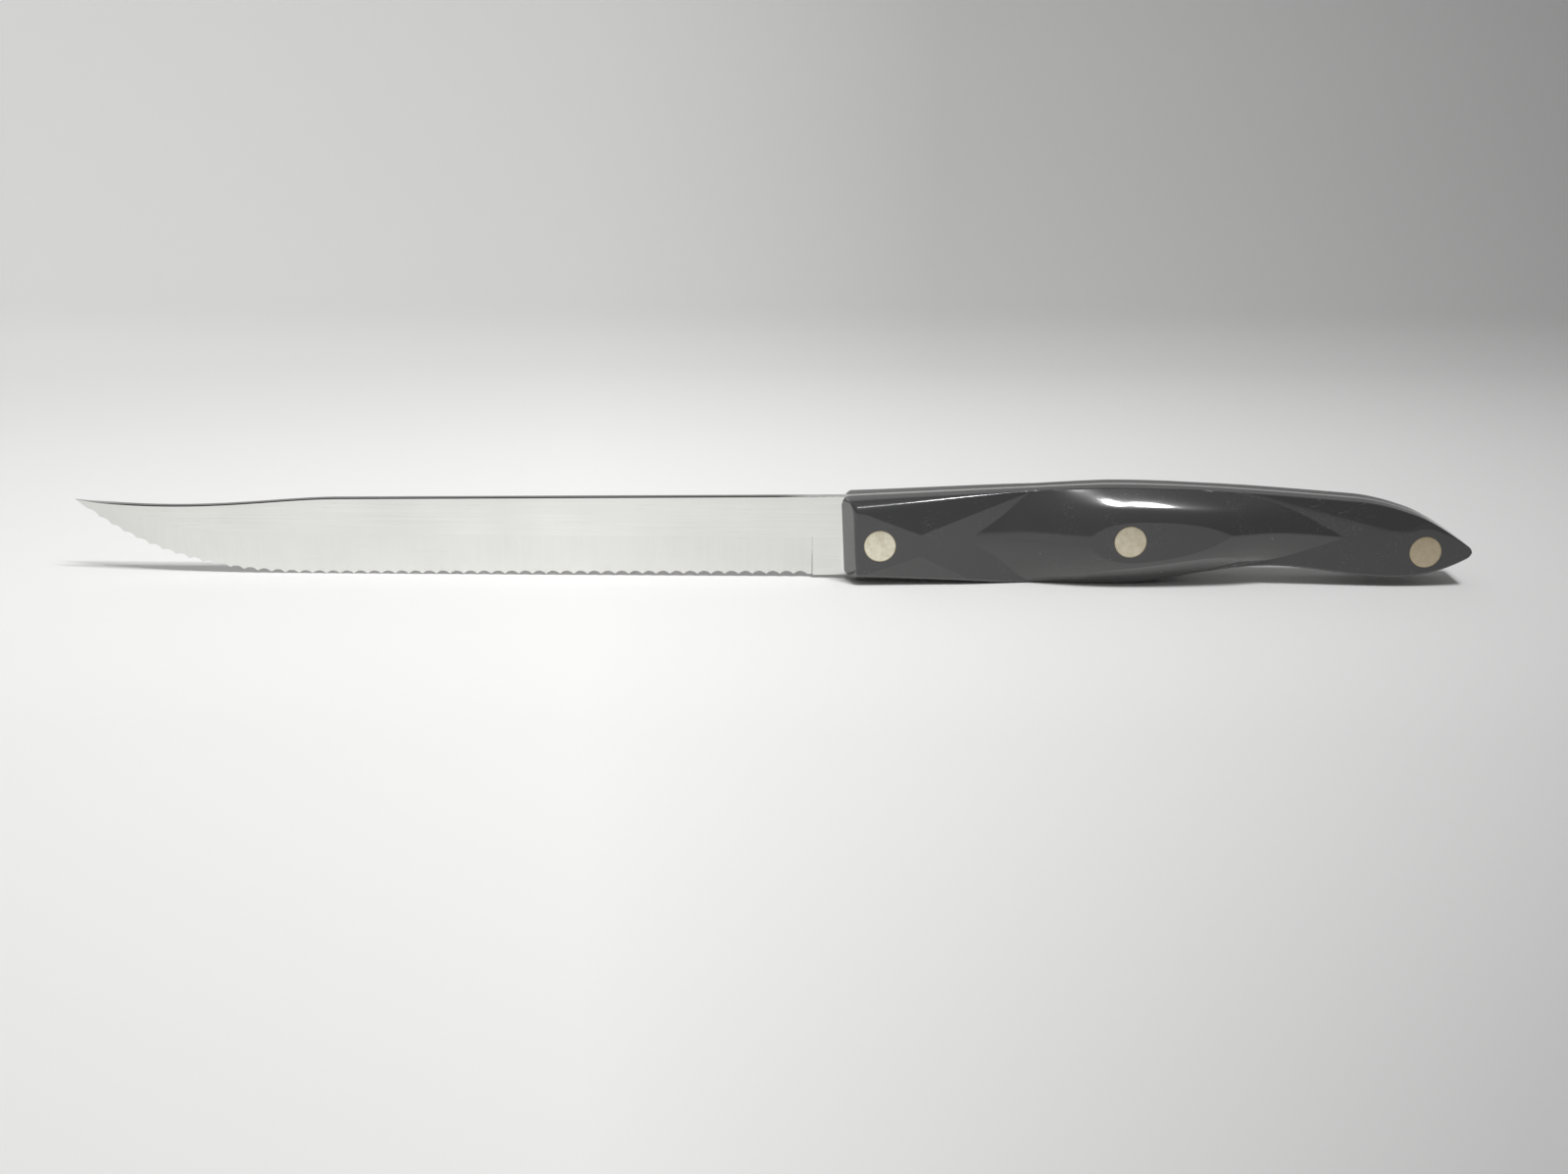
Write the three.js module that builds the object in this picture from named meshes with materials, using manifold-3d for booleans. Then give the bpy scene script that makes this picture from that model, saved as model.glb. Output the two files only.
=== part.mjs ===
// Carving knife with a full tang, sculpted handle scales and three two-piece rivets.
// Millimetres, +Z up. The knife stands on its edge: X runs from the tip to the beak of the handle,
// Y across the thickness, Z from the floor to the spine. The origin is on the floor at mid-length.
import * as THREE from 'three';
import { mergeVertices } from 'three/addons/utils/BufferGeometryUtils.js';
import Module from 'manifold-3d';

// Overall
const BLADE_LENGTH = 171.45; // tip to the front of the handle
const HANDLE_LENGTH = 139.7; // front of the handle to the end of the beak
const STOCK = 1.8; // thickness of the steel blank

// Blade outline, measured from the tip
const TIP_HEIGHT = 16.9;
const SWEEP_LENGTH = 58.8; // the edge curves up over this length
const CLIP_LENGTH = 60; // the spine dips over this length
const CLIP_START_HEIGHT = 17.7; // spine height where the dip begins
const CLIP_PULL = 3.85; // how far the dip's lower control point lies below that height
const CLIP_UPPER_SHARE = 0.73; // where its two control points lie along it
const CLIP_LOWER_SHARE = 0.47;
const SPINE_END_HEIGHT = 19; // spine height at the handle
const RICASSO_LENGTH = 7.1; // unground length in front of the handle
const HEEL_LIFT = 0.68; // height of the edge at the plunge line
const RICASSO_LIFT = 0.85; // height of the blank where it enters the handle

// Hollow grind
const GRIND_HEIGHT = 9.5; // top of the ground band above the floor
const GRIND_TURN = 45; // the band's top starts to rise this far from the tip
const GRIND_RUN = 34; // length over which it rises by GRIND_RISE
const GRIND_RISE = 5.2;
const GRIND_POWER = 2.6;
const GRIND_HOLLOW = 0.11; // how far the ground face lies below its chord
const EDGE_THICKNESS = 0.24;

// Scallops ground into the edge from the right side
const SCALLOP_PITCH = 3.1;
const SCALLOP_LAND = 0.2; // cusp left between two scallops
const SCALLOP_DEPTH = 0.52;
const SCALLOP_ANGLE = 15; // degrees between the wheel's face and the blade
const SCALLOP_HEEL_MARGIN = 1.3;
const SCALLOP_TIP_MARGIN = 3;
const WHEEL_REACH = 0.9; // half width of the wheel's rim that is used, in pitches
const WHEEL_DEPTH = 8; // thickness of the wheel, in pitches

// Handle profile, from the handle's front, or from its end where the name says so
const FRONT_TOP_SLOPE = 0.0545; // the top line rises straight as far as RISE_END_AT
const RISE_END_AT = 52;
const CREST_AT = 61;
const CREST_HEIGHT = 22.13;
const SHOULDER_FROM_END = 25.7;
const SHOULDER_HEIGHT = 19.36;
const SHOULDER_SLOPE = -0.078;
const BACK_FROM_END = 12.7;
const BACK_HEIGHT = 16.34;
const BACK_SLOPE = -0.35;
const BEAK_HEIGHT = 8;
const BEAK_RADIUS = 1.9;
const BEAK_TOP_ANGLE = 55; // degrees round the beak where the top line leaves it
const BEAK_BOTTOM_ANGLE = 60;
const BELLY_AT = 59.5; // the handle's lowest point, on the floor
const HOLLOW_FROM_END = 44.2;
const HOLLOW_HEIGHT = 4.5;
const HEEL_FROM_END = 17.2;
const HEEL_HEIGHT = 2.05;
const FRONT_TOP_CORNER = 2; // corner radii of the scales' front end, seen from the side
const FRONT_BOTTOM_CORNER = 2.2;

// Cross-section of the scales, as half widths from the middle of the tang
const FRONT_HALF = 7.6;
const FRONT_SLANT = 2.2; // the front end leans back by this much at the outer face
const FRONT_LEAN = 0.9; // and by this much at the bottom
const REAR_HALF = 5.4;
const REAR_THROAT_HALF = 4.6; // rear face where the swell runs into it
const REAR_THROAT_FROM_END = 43;
const REAR_FLAT_FROM_END = 18.7;
const SWELL_FLAT_HALF = 8.95; // the flat round the middle rivet
const SWELL_START = 27.5; // the swell's middle line leaves the front scoop here
const SWELL_START_SLOPE = -0.13;
const THROAT_AT = 35.5; // the narrowest place in front of the swell
const THROAT_HALF = 5.4;
const SWELL_FRONT_AT = 51; // the swell's front shoulder
const SWELL_FRONT_HALF = 8.4;
const SWELL_FRONT_SLOPE = 0.2;
const SWELL_AT = 65; // the widest place, before it is cut flat
const SWELL_HALF = 9.75;
const SWELL_BACK_AT = 85.9; // the swell's rear shoulder
const SWELL_BACK_HALF = 8.85;
const SWELL_BACK_SLOPE = -0.12;
const SWELL_NECK_AT = 97.5; // behind the swell
const SWELL_NECK_HALF = 6.3;
const SWELL_NECK_SLOPE = -0.17;
const SWELL_END_AT = 110.7; // the swell's middle line meets the rear face here
const SWELL_END_SLOPE = -0.07;
const SWELL_EDGE_FRONT_HALF = 3.4; // the swell's section has fallen to this at its top edge, at the throat
const SWELL_EDGE_AT = 68;
const SWELL_EDGE_HALF = 4.15; // the same where the swell is high
const SWELL_EDGE_BACK_AT = 94;
const SWELL_EDGE_BACK_HALF = 3; // the same behind it
const RIDGE_FALL = 1.7; // part of that fall that starts at once beside the middle line
const RIDGE_FRONT_ROUND = 0.25; // roundness of the middle line, as a share of half the height
const RIDGE_BACK_ROUND = 0.03;
const BEVEL_AT = 0.65; // share of half the height where the side bends into the swell's upper bevel
const BEVEL_ROUND = 0.18; // roundness of that bend
const SWELL_POWER = 4; // below the middle line, the rest of the fall grows with this power of the height
const TOP_CROWN = 80; // radius of the strip along the top
const TOP_FLAT_HALF = 4.6; // beyond this its edges round down at the front
const TOP_ROUND = 2.8;
const BOTTOM_FLAT_HALF = 4.4;
const BOTTOM_SLOPE = 0.45; // rise of the bottom beyond its flat
const BELLY_FLAT_HALF = 4.2;
const BELLY_SLOPE = 1.1; // rise of the bevel along the bottom of the swell
const ROUND_LIMIT = 0.4; // no edge rounds further than this share of the handle's height

// Facets of the front scoop: each is a plane through three corners
const SCOOP_START = 17; // the front flat ends here
const SCOOP_END = 42; // the scoop meets the top edge here
const SCOOP_END_HALF = 3.6;
const UPPER_FACET_FRONT = 2.9;
const UPPER_FACET_FRONT_DROP = 2; // below the top line
const UPPER_FACET_VERTEX_HEIGHT = 11.9;
const LOWER_FACET_FRONT = 3.6;
const LOWER_FACET_FRONT_HEIGHT = 2.3;
const LOWER_FACET_VERTEX_HEIGHT = 7;
const LOWER_FACET_END_HEIGHT = 1.35;
const LOWER_FACET_END_HALF = 4.9;

// Facet above the rear flat: a plane through three corners, which leaves a round boss about the rivet
const REAR_FACET_START_FROM_END = 39.9;
const REAR_FACET_START_HEIGHT = 18.4;
const REAR_FACET_TOP_FROM_END = 21.7;
const REAR_FACET_TOP_HALF = 4.45;
const REAR_FACET_FOOT_HEIGHT = 12.8; // where the rear flat begins
const BOSS_RADIUS = 5.2;

// Rivets
const RIVET_HEAD_RADIUS = 3.572; // 9/32 inch across
const RIVET_HEAD_THICKNESS = 1.6;
const SLEEVE_RADIUS = 2.4;
const POST_RADIUS = 1.6;
const RIVET_CLEARANCE = 0.05; // radial, in the holes and in the sleeve
const POST_END_GAP = 0.6; // left at the bottom of the sleeve
const SLEEVE_END_GAP = 0.4; // left between the sleeve and the post's head
const FRONT_RIVET_AT = 8;
const FRONT_RIVET_HEIGHT = 9.3;
const MIDDLE_RIVET_AT = 63;
const MIDDLE_RIVET_HEIGHT = 11;
const REAR_RIVET_FROM_END = 10.4;
const REAR_RIVET_HEIGHT = 8.2;

// Fineness of the facets
const ROUND_SEGMENTS = 32;
const PROFILE_STEPS = 44;
const BEAK_STEPS = 6;
const CORNER_STEPS = 4;
const SWEEP_STEPS = 24;
const CLIP_STEPS = 16;
const SCALLOP_STEPS = 6;
const GRIND_STEPS = 5;
const GRIND_CROWDING = 1.5; // above 1, the ground band's sections crowd towards the tip
const SWELL_STEPS = 52;
const SWELL_SECTION_STEPS = 20;
const SWELL_OVERREACH = 1.08; // the swell is made this much taller than the handle and cut to its outline
const ROUND_LEVELS = 9; // sections across the rounded long edges
const CUT_MARGIN = 3; // how far cutters reach past what they cut

const RIVETS = [
  { name: 'front', at: FRONT_RIVET_AT, height: FRONT_RIVET_HEIGHT, half: FRONT_HALF },
  { name: 'middle', at: MIDDLE_RIVET_AT, height: MIDDLE_RIVET_HEIGHT, half: SWELL_FLAT_HALF },
  { name: 'rear', at: HANDLE_LENGTH - REAR_RIVET_FROM_END, height: REAR_RIVET_HEIGHT, half: REAR_HALF },
];

const wasm = await Module();
wasm.setup();

// Solids and meshes

function toSolid(geometry) {
  const plain = geometry.clone();
  plain.deleteAttribute('normal');
  plain.deleteAttribute('uv');
  const merged = mergeVertices(plain, 1e-5);
  const mesh = new wasm.Mesh({
    numProp: 3,
    vertProperties: new Float32Array(merged.attributes.position.array),
    triVerts: new Uint32Array(merged.index.array),
  });
  mesh.merge();
  return new wasm.Manifold(mesh);
}

function toGeometry(solid) {
  const mesh = solid.getMesh();
  const geometry = new THREE.BufferGeometry();
  geometry.setAttribute('position', new THREE.BufferAttribute(new Float32Array(mesh.vertProperties), 3));
  geometry.setIndex(new THREE.BufferAttribute(new Uint32Array(mesh.triVerts), 1));
  geometry.computeVertexNormals();
  return geometry;
}

// A closed body through rings of equal point counts. Each ring is a list of Vector3, and flat() gives
// the two coordinates in which its end caps are filled.
function loft(rings, flat) {
  const count = rings[0].length;
  const positions = rings.flat().flatMap((p) => [p.x, p.y, p.z]);
  const index = [];
  for (let r = 0; r < rings.length - 1; r++) {
    for (let i = 0; i < count; i++) {
      const a = r * count + i;
      const b = r * count + ((i + 1) % count);
      index.push(a, b, b + count, a, b + count, a + count);
    }
  }
  const last = (rings.length - 1) * count;
  for (const [a, b, c] of THREE.ShapeUtils.triangulateShape(rings[0].map(flat), [])) index.push(c, b, a);
  for (const [a, b, c] of THREE.ShapeUtils.triangulateShape(rings.at(-1).map(flat), [])) {
    index.push(last + a, last + b, last + c);
  }
  const geometry = new THREE.BufferGeometry();
  geometry.setAttribute('position', new THREE.Float32BufferAttribute(positions, 3));
  geometry.setIndex(index);
  return geometry;
}

function mirrored(geometry) {
  const copy = geometry.clone().scale(1, -1, 1);
  const corners = copy.index.array;
  for (let i = 0; i < corners.length; i += 3) [corners[i], corners[i + 1]] = [corners[i + 1], corners[i]];
  copy.computeVertexNormals();
  return copy;
}

// A block whose inner face lies on the plane through three points and which reaches out in +Y.
function blockBeyond(p, q, r) {
  const size = 4 * HANDLE_LENGTH;
  const outward = q.clone().sub(p).cross(r.clone().sub(p)).normalize();
  if (outward.y < 0) outward.negate();
  const along = q.clone().sub(p).normalize();
  const across = new THREE.Vector3().crossVectors(outward, along);
  const place = new THREE.Matrix4().makeBasis(along, across, outward);
  place.setPosition(p.clone().addScaledVector(outward, size / 2));
  return toSolid(new THREE.BoxGeometry(size, size, size).applyMatrix4(place));
}

// Curves

// A chain of cubic pieces through knots [position, value, slope], straight beyond its ends.
function chain(knots) {
  const first = knots[0];
  const end = knots.at(-1);
  return (s) => {
    if (s <= first[0]) return first[1] + first[2] * (s - first[0]);
    if (s >= end[0]) return end[1] + end[2] * (s - end[0]);
    const i = knots.findIndex((k) => k[0] > s);
    const [s0, v0, m0] = knots[i - 1];
    const [s1, v1, m1] = knots[i];
    const w = s1 - s0;
    const u = (s - s0) / w;
    const rise = u * u * (3 - 2 * u);
    return v0 + (v1 - v0) * rise + w * u * (1 - u) * ((1 - u) * m0 - u * m1);
  };
}

const radians = THREE.MathUtils.degToRad;
const beakCentre = HANDLE_LENGTH - BEAK_RADIUS;

function beakPoint(degrees) {
  const a = radians(degrees);
  return [beakCentre + BEAK_RADIUS * Math.cos(a), BEAK_HEIGHT + BEAK_RADIUS * Math.sin(a)];
}

const beakTop = beakPoint(BEAK_TOP_ANGLE);
const beakBottom = beakPoint(-BEAK_BOTTOM_ANGLE);

const handleTop = chain([
  [0, SPINE_END_HEIGHT, FRONT_TOP_SLOPE],
  [RISE_END_AT, SPINE_END_HEIGHT + FRONT_TOP_SLOPE * RISE_END_AT, FRONT_TOP_SLOPE],
  [CREST_AT, CREST_HEIGHT, 0],
  [HANDLE_LENGTH - SHOULDER_FROM_END, SHOULDER_HEIGHT, SHOULDER_SLOPE],
  [HANDLE_LENGTH - BACK_FROM_END, BACK_HEIGHT, BACK_SLOPE],
  [...beakTop, -1 / Math.tan(radians(BEAK_TOP_ANGLE))],
]);

const handleBottom = chain([
  [0, RICASSO_LIFT, 0],
  [BELLY_AT, 0, 0],
  [HANDLE_LENGTH - HOLLOW_FROM_END, HOLLOW_HEIGHT, 0],
  [HANDLE_LENGTH - HEEL_FROM_END, HEEL_HEIGHT, 0],
  [...beakBottom, 1 / Math.tan(radians(BEAK_BOTTOM_ANGLE))],
]);

// Half widths of the plain faces that the swell grows out of.
function scoopHalf(s) {
  return THREE.MathUtils.mapLinear(s, SCOOP_START, SCOOP_END, FRONT_HALF, SCOOP_END_HALF);
}

const rearThroat = HANDLE_LENGTH - REAR_THROAT_FROM_END;
const rearFlat = HANDLE_LENGTH - REAR_FLAT_FROM_END;

function rearHalf(s) {
  return THREE.MathUtils.mapLinear(s, rearThroat, rearFlat, REAR_THROAT_HALF, REAR_HALF);
}

// Half width of the swell along its middle line.
const swellHalf = chain([
  [SWELL_START, scoopHalf(SWELL_START), SWELL_START_SLOPE],
  [THROAT_AT, THROAT_HALF, 0],
  [SWELL_FRONT_AT, SWELL_FRONT_HALF, SWELL_FRONT_SLOPE],
  [SWELL_AT, SWELL_HALF, 0],
  [SWELL_BACK_AT, SWELL_BACK_HALF, SWELL_BACK_SLOPE],
  [SWELL_NECK_AT, SWELL_NECK_HALF, SWELL_NECK_SLOPE],
  [SWELL_END_AT, rearHalf(SWELL_END_AT), SWELL_END_SLOPE],
]);

const swellEdge = chain([
  [THROAT_AT, SWELL_EDGE_FRONT_HALF, 0],
  [SWELL_EDGE_AT, SWELL_EDGE_HALF, 0],
  [SWELL_EDGE_BACK_AT, SWELL_EDGE_BACK_HALF, 0],
]);

const ridgeRound = chain([
  [SWELL_FRONT_AT, RIDGE_FRONT_ROUND, 0],
  [SWELL_BACK_AT, RIDGE_BACK_ROUND, 0],
]);

// Half width of the swell at u of half its height: 0 is its middle line, 1 the top and -1 the bottom.
function swellSection(s, u) {
  const round = ridgeRound(s);
  const ridge = (v) => Math.hypot(v, round) - round;
  const bevel = (v) => Math.hypot(v - BEVEL_AT, BEVEL_ROUND) + v;
  const bend = u > 0 ? (bevel(u) - bevel(0)) / (bevel(1) - bevel(0)) : (-u) ** SWELL_POWER;
  const rest = swellHalf(s) - swellEdge(s) - RIDGE_FALL;
  return swellHalf(s) - (RIDGE_FALL * ridge(u)) / ridge(1) - rest * bend;
}

function edgeHeight(d) {
  if (d < SWEEP_LENGTH) return TIP_HEIGHT * (1 - Math.max(d, 0) / SWEEP_LENGTH) ** 3;
  return (HEEL_LIFT * (d - SWEEP_LENGTH)) / (BLADE_LENGTH - RICASSO_LENGTH - SWEEP_LENGTH);
}

function grindTop(d) {
  return GRIND_HEIGHT + GRIND_RISE * (Math.max(GRIND_TURN - d, 0) / GRIND_RUN) ** GRIND_POWER;
}

function steps(from, to, count) {
  return Array.from({ length: count + 1 }, (_, i) => from + ((to - from) * i) / count);
}

// The handle's outline from its front along the bottom, round the beak and back along the top, as
// [position, height, side]: side is -1 on the bottom, 1 on the top and 0 round the beak.
function handleOutline(frontTopCorner, frontBottomCorner) {
  const corner = (radius, s) => radius - Math.sqrt(Math.max(radius ** 2 - Math.max(radius - s, 0) ** 2, 0));
  const ease = (radius) => steps(0, 1, CORNER_STEPS).map((u) => radius * (1 - Math.cos((u * Math.PI) / 2)));
  const run = (corner0, end) => [
    ...(corner0 > 0 ? ease(corner0).slice(0, -1) : []),
    ...steps(corner0, end, PROFILE_STEPS),
  ];
  const bottom = run(frontBottomCorner, beakBottom[0]).map((s) => [
    s,
    handleBottom(s) + corner(frontBottomCorner, s),
    -1,
  ]);
  const top = run(frontTopCorner, beakTop[0]).map((s) => [s, handleTop(s) - corner(frontTopCorner, s), 1]);
  const beak = steps(-BEAK_BOTTOM_ANGLE, BEAK_TOP_ANGLE, BEAK_STEPS)
    .slice(1, -1)
    .map((a) => [...beakPoint(a), 0]);
  return [...bottom, ...beak, ...top.reverse()];
}

// Rivets and their holes, turned about the Y axis

function turned(profile, rivet) {
  const points = profile.map(([radius, y]) => new THREE.Vector2(radius, y));
  return new THREE.LatheGeometry(points, ROUND_SEGMENTS).translate(rivet.at, 0, rivet.height);
}

function hole(radius, low, high, rivet) {
  return toSolid(turned([[0, low], [radius, low], [radius, high], [0, high]], rivet));
}

function rivetSleeve(rivet) {
  const seat = rivet.half - RIVET_HEAD_THICKNESS;
  const open = -seat + SLEEVE_END_GAP;
  const bore = POST_RADIUS + RIVET_CLEARANCE;
  return turned(
    [
      [0, seat],
      [bore, seat],
      [bore, open],
      [SLEEVE_RADIUS, open],
      [SLEEVE_RADIUS, seat],
      [RIVET_HEAD_RADIUS, seat],
      [RIVET_HEAD_RADIUS, rivet.half],
      [0, rivet.half],
    ],
    rivet,
  );
}

function rivetPost(rivet) {
  const seat = -rivet.half + RIVET_HEAD_THICKNESS;
  const end = -seat - POST_END_GAP;
  return turned(
    [
      [0, -rivet.half],
      [RIVET_HEAD_RADIUS, -rivet.half],
      [RIVET_HEAD_RADIUS, seat],
      [POST_RADIUS, seat],
      [POST_RADIUS, end],
      [0, end],
    ],
    rivet,
  );
}

// Blade: a flat blank, hollow ground on both sides and scalloped along the edge

function blankOutline() {
  const plunge = BLADE_LENGTH - RICASSO_LENGTH;
  const shape = new THREE.Shape();
  shape.moveTo(0, TIP_HEIGHT);
  for (const d of steps(0, SWEEP_LENGTH, SWEEP_STEPS).slice(1)) shape.lineTo(d, edgeHeight(d));
  shape.lineTo(plunge, HEEL_LIFT);
  for (const [s, z] of handleOutline(0, 0)) shape.lineTo(BLADE_LENGTH + s, z);
  const clip = new THREE.CubicBezierCurve(
    new THREE.Vector2(CLIP_LENGTH, CLIP_START_HEIGHT),
    new THREE.Vector2(CLIP_LENGTH * CLIP_UPPER_SHARE, CLIP_START_HEIGHT),
    new THREE.Vector2(CLIP_LENGTH * CLIP_LOWER_SHARE, CLIP_START_HEIGHT - CLIP_PULL),
    new THREE.Vector2(0, TIP_HEIGHT),
  );
  for (const p of clip.getPoints(CLIP_STEPS).slice(0, -1)) shape.lineTo(p.x, p.y);
  return shape;
}

function hollowGrind() {
  const plunge = BLADE_LENGTH - RICASSO_LENGTH;
  const half = STOCK / 2;
  const thin = EDGE_THICKNESS / 2;
  const curved = steps(0, 1, SWEEP_STEPS).map((u) => SWEEP_LENGTH * u ** GRIND_CROWDING);
  const rings = [-CUT_MARGIN, ...curved, plunge].map((d) => {
    const low = edgeHeight(d);
    const high = grindTop(d);
    const face = steps(0, 1, GRIND_STEPS).map((u) => {
      const y = thin + (half - thin) * u - 4 * GRIND_HOLLOW * u * (1 - u);
      return new THREE.Vector3(d, y, low + (high - low) * u);
    });
    return [
      new THREE.Vector3(d, thin, low - CUT_MARGIN),
      ...face,
      new THREE.Vector3(d, half + CUT_MARGIN, high),
      new THREE.Vector3(d, half + CUT_MARGIN, low - CUT_MARGIN),
    ].reverse();
  });
  return loft(rings, (p) => new THREE.Vector2(p.y, p.z));
}

// One scallop cutter: the rim of a grinding wheel that leans SCALLOP_ANGLE away from the blade.
function scallopCutter(point, tangent) {
  const lean = radians(SCALLOP_ANGLE);
  const halfChord = (SCALLOP_PITCH - SCALLOP_LAND) / 2;
  const arcRadius = (halfChord ** 2 + SCALLOP_DEPTH ** 2) / (2 * SCALLOP_DEPTH);
  const wheel = arcRadius / Math.sin(lean);
  const reach = SCALLOP_PITCH * WHEEL_REACH;
  const spread = Math.asin(reach / wheel);
  const rim = new THREE.Shape();
  rim.absarc(0, -wheel, wheel, Math.PI / 2 - spread, Math.PI / 2 + spread, false);
  rim.lineTo(-reach, -CUT_MARGIN);
  rim.lineTo(reach, -CUT_MARGIN);
  rim.closePath();
  const length = SCALLOP_PITCH * WHEEL_DEPTH;
  const bar = new THREE.ExtrudeGeometry(rim, {
    depth: length,
    bevelEnabled: false,
    curveSegments: SCALLOP_STEPS,
  }).translate(0, 0, -length / 2);
  const inward = new THREE.Vector3(tangent.z, 0, -tangent.x);
  const across = new THREE.Vector3(0, 1, 0);
  const axis = inward.clone().multiplyScalar(Math.cos(lean)).addScaledVector(across, Math.sin(lean));
  const toBlade = new THREE.Vector3().crossVectors(axis, tangent);
  const start = point.clone().addScaledVector(across, -EDGE_THICKNESS / 2);
  const place = new THREE.Matrix4().makeBasis(tangent, toBlade, axis);
  place.setPosition(start.addScaledVector(inward, SCALLOP_DEPTH));
  return bar.applyMatrix4(place);
}

function scallopCutters() {
  const heel = BLADE_LENGTH - RICASSO_LENGTH - SCALLOP_HEEL_MARGIN;
  const points = [
    new THREE.Vector3(heel, 0, edgeHeight(heel)),
    ...steps(SWEEP_LENGTH, 0, SWEEP_STEPS).map((d) => new THREE.Vector3(d, 0, edgeHeight(d))),
  ];
  const edge = new THREE.CurvePath();
  points.slice(1).forEach((p, i) => edge.add(new THREE.LineCurve3(points[i], p)));
  const length = edge.getLength();
  const count = Math.floor((length - SCALLOP_TIP_MARGIN) / SCALLOP_PITCH);
  return Array.from({ length: count }, (_, i) => {
    const share = ((i + 0.5) * SCALLOP_PITCH) / length;
    return scallopCutter(edge.getPointAt(share), edge.getTangentAt(share));
  });
}

function bladeGeometry() {
  const blank = new THREE.ExtrudeGeometry(blankOutline(), { depth: STOCK, bevelEnabled: false });
  blank.rotateX(Math.PI / 2).translate(0, STOCK / 2, 0);
  const grind = hollowGrind();
  let blade = toSolid(blank).subtract(toSolid(grind)).subtract(toSolid(mirrored(grind)));
  for (const cutter of scallopCutters()) blade = blade.subtract(toSolid(cutter));
  for (const rivet of RIVETS) {
    const placed = { at: BLADE_LENGTH + rivet.at, height: rivet.height };
    blade = blade.subtract(hole(SLEEVE_RADIUS + RIVET_CLEARANCE, -STOCK, STOCK, placed));
  }
  return toGeometry(blade);
}

// Scale: the handle's outline with rounded long edges, cut by the faces of the front and rear and
// joined with the swell

function crownedOutline() {
  const outline = handleOutline(FRONT_TOP_CORNER, FRONT_BOTTOM_CORNER);
  const widest = SWELL_HALF + CUT_MARGIN;
  const levels = [STOCK / 2, BOTTOM_FLAT_HALF, ...steps(TOP_FLAT_HALF, widest, ROUND_LEVELS)];
  levels.sort((a, b) => a - b);
  const fall = (y, radius) => Math.max(y, 0) ** 2 / (2 * radius);
  const frontShare = chain([[0, 1, 0], [SCOOP_END, 0, 0]]);
  const rings = levels.map((y) =>
    outline.map(([s, z, side]) => {
      const room = ROUND_LIMIT * (handleTop(s) - handleBottom(s));
      const crown = fall(y - STOCK / 2, TOP_CROWN);
      const down = Math.min(crown + frontShare(s) * fall(y - TOP_FLAT_HALF, TOP_ROUND), room);
      const up = Math.min(BOTTOM_SLOPE * Math.max(y - BOTTOM_FLAT_HALF, 0), room);
      const shift = side > 0 ? -down : side < 0 ? up : 0;
      return new THREE.Vector3(s, y, z + shift);
    }).reverse(),
  );
  return toSolid(loft(rings, (p) => new THREE.Vector2(p.z, p.x)));
}

// A block seen in plan: [position, half width] points, closed along the middle of the knife.
function planBlock(points) {
  const start = points[0][0];
  const end = points.at(-1)[0];
  const shape = new THREE.Shape();
  shape.moveTo(start, 0);
  shape.lineTo(end, 0);
  for (const [s, y] of points.toReversed()) shape.lineTo(s, y);
  const tall = 2 * CREST_HEIGHT;
  const block = new THREE.ExtrudeGeometry(shape, { depth: tall, bevelEnabled: false });
  return toSolid(block.translate(0, 0, -tall / 4));
}

function frontBlock() {
  const block = planBlock([
    [0, FRONT_HALF],
    [SCOOP_START, FRONT_HALF],
    [SWELL_FRONT_AT, scoopHalf(SWELL_FRONT_AT)],
  ]);
  const end = blockBeyond(
    new THREE.Vector3(0, STOCK / 2, handleTop(0)),
    new THREE.Vector3(FRONT_SLANT, FRONT_HALF, handleTop(0)),
    new THREE.Vector3(FRONT_LEAN, STOCK / 2, handleBottom(0)),
  );
  const upper = blockBeyond(
    new THREE.Vector3(UPPER_FACET_FRONT, FRONT_HALF, handleTop(UPPER_FACET_FRONT) - UPPER_FACET_FRONT_DROP),
    new THREE.Vector3(SCOOP_START, FRONT_HALF, UPPER_FACET_VERTEX_HEIGHT),
    new THREE.Vector3(SCOOP_END, SCOOP_END_HALF, handleTop(SCOOP_END)),
  );
  const lower = blockBeyond(
    new THREE.Vector3(LOWER_FACET_FRONT, FRONT_HALF, LOWER_FACET_FRONT_HEIGHT),
    new THREE.Vector3(SCOOP_START, FRONT_HALF, LOWER_FACET_VERTEX_HEIGHT),
    new THREE.Vector3(SCOOP_END, LOWER_FACET_END_HALF, LOWER_FACET_END_HEIGHT),
  );
  return block.subtract(end).subtract(upper).subtract(lower);
}

function rearBlock() {
  const block = planBlock([
    [SWELL_FRONT_AT - CUT_MARGIN, REAR_HALF / 2],
    [rearThroat, REAR_THROAT_HALF],
    [rearFlat, REAR_HALF],
    [HANDLE_LENGTH + CUT_MARGIN, REAR_HALF],
  ]);
  const start = HANDLE_LENGTH - REAR_FACET_START_FROM_END;
  const top = HANDLE_LENGTH - REAR_FACET_TOP_FROM_END;
  const facet = blockBeyond(
    new THREE.Vector3(start, rearHalf(start), REAR_FACET_START_HEIGHT),
    new THREE.Vector3(top, REAR_FACET_TOP_HALF, handleTop(top)),
    new THREE.Vector3(rearFlat, REAR_HALF, REAR_FACET_FOOT_HEIGHT),
  );
  const boss = hole(BOSS_RADIUS, 0, REAR_HALF + CUT_MARGIN, RIVETS.at(-1));
  return block.subtract(facet.subtract(boss));
}

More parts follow.
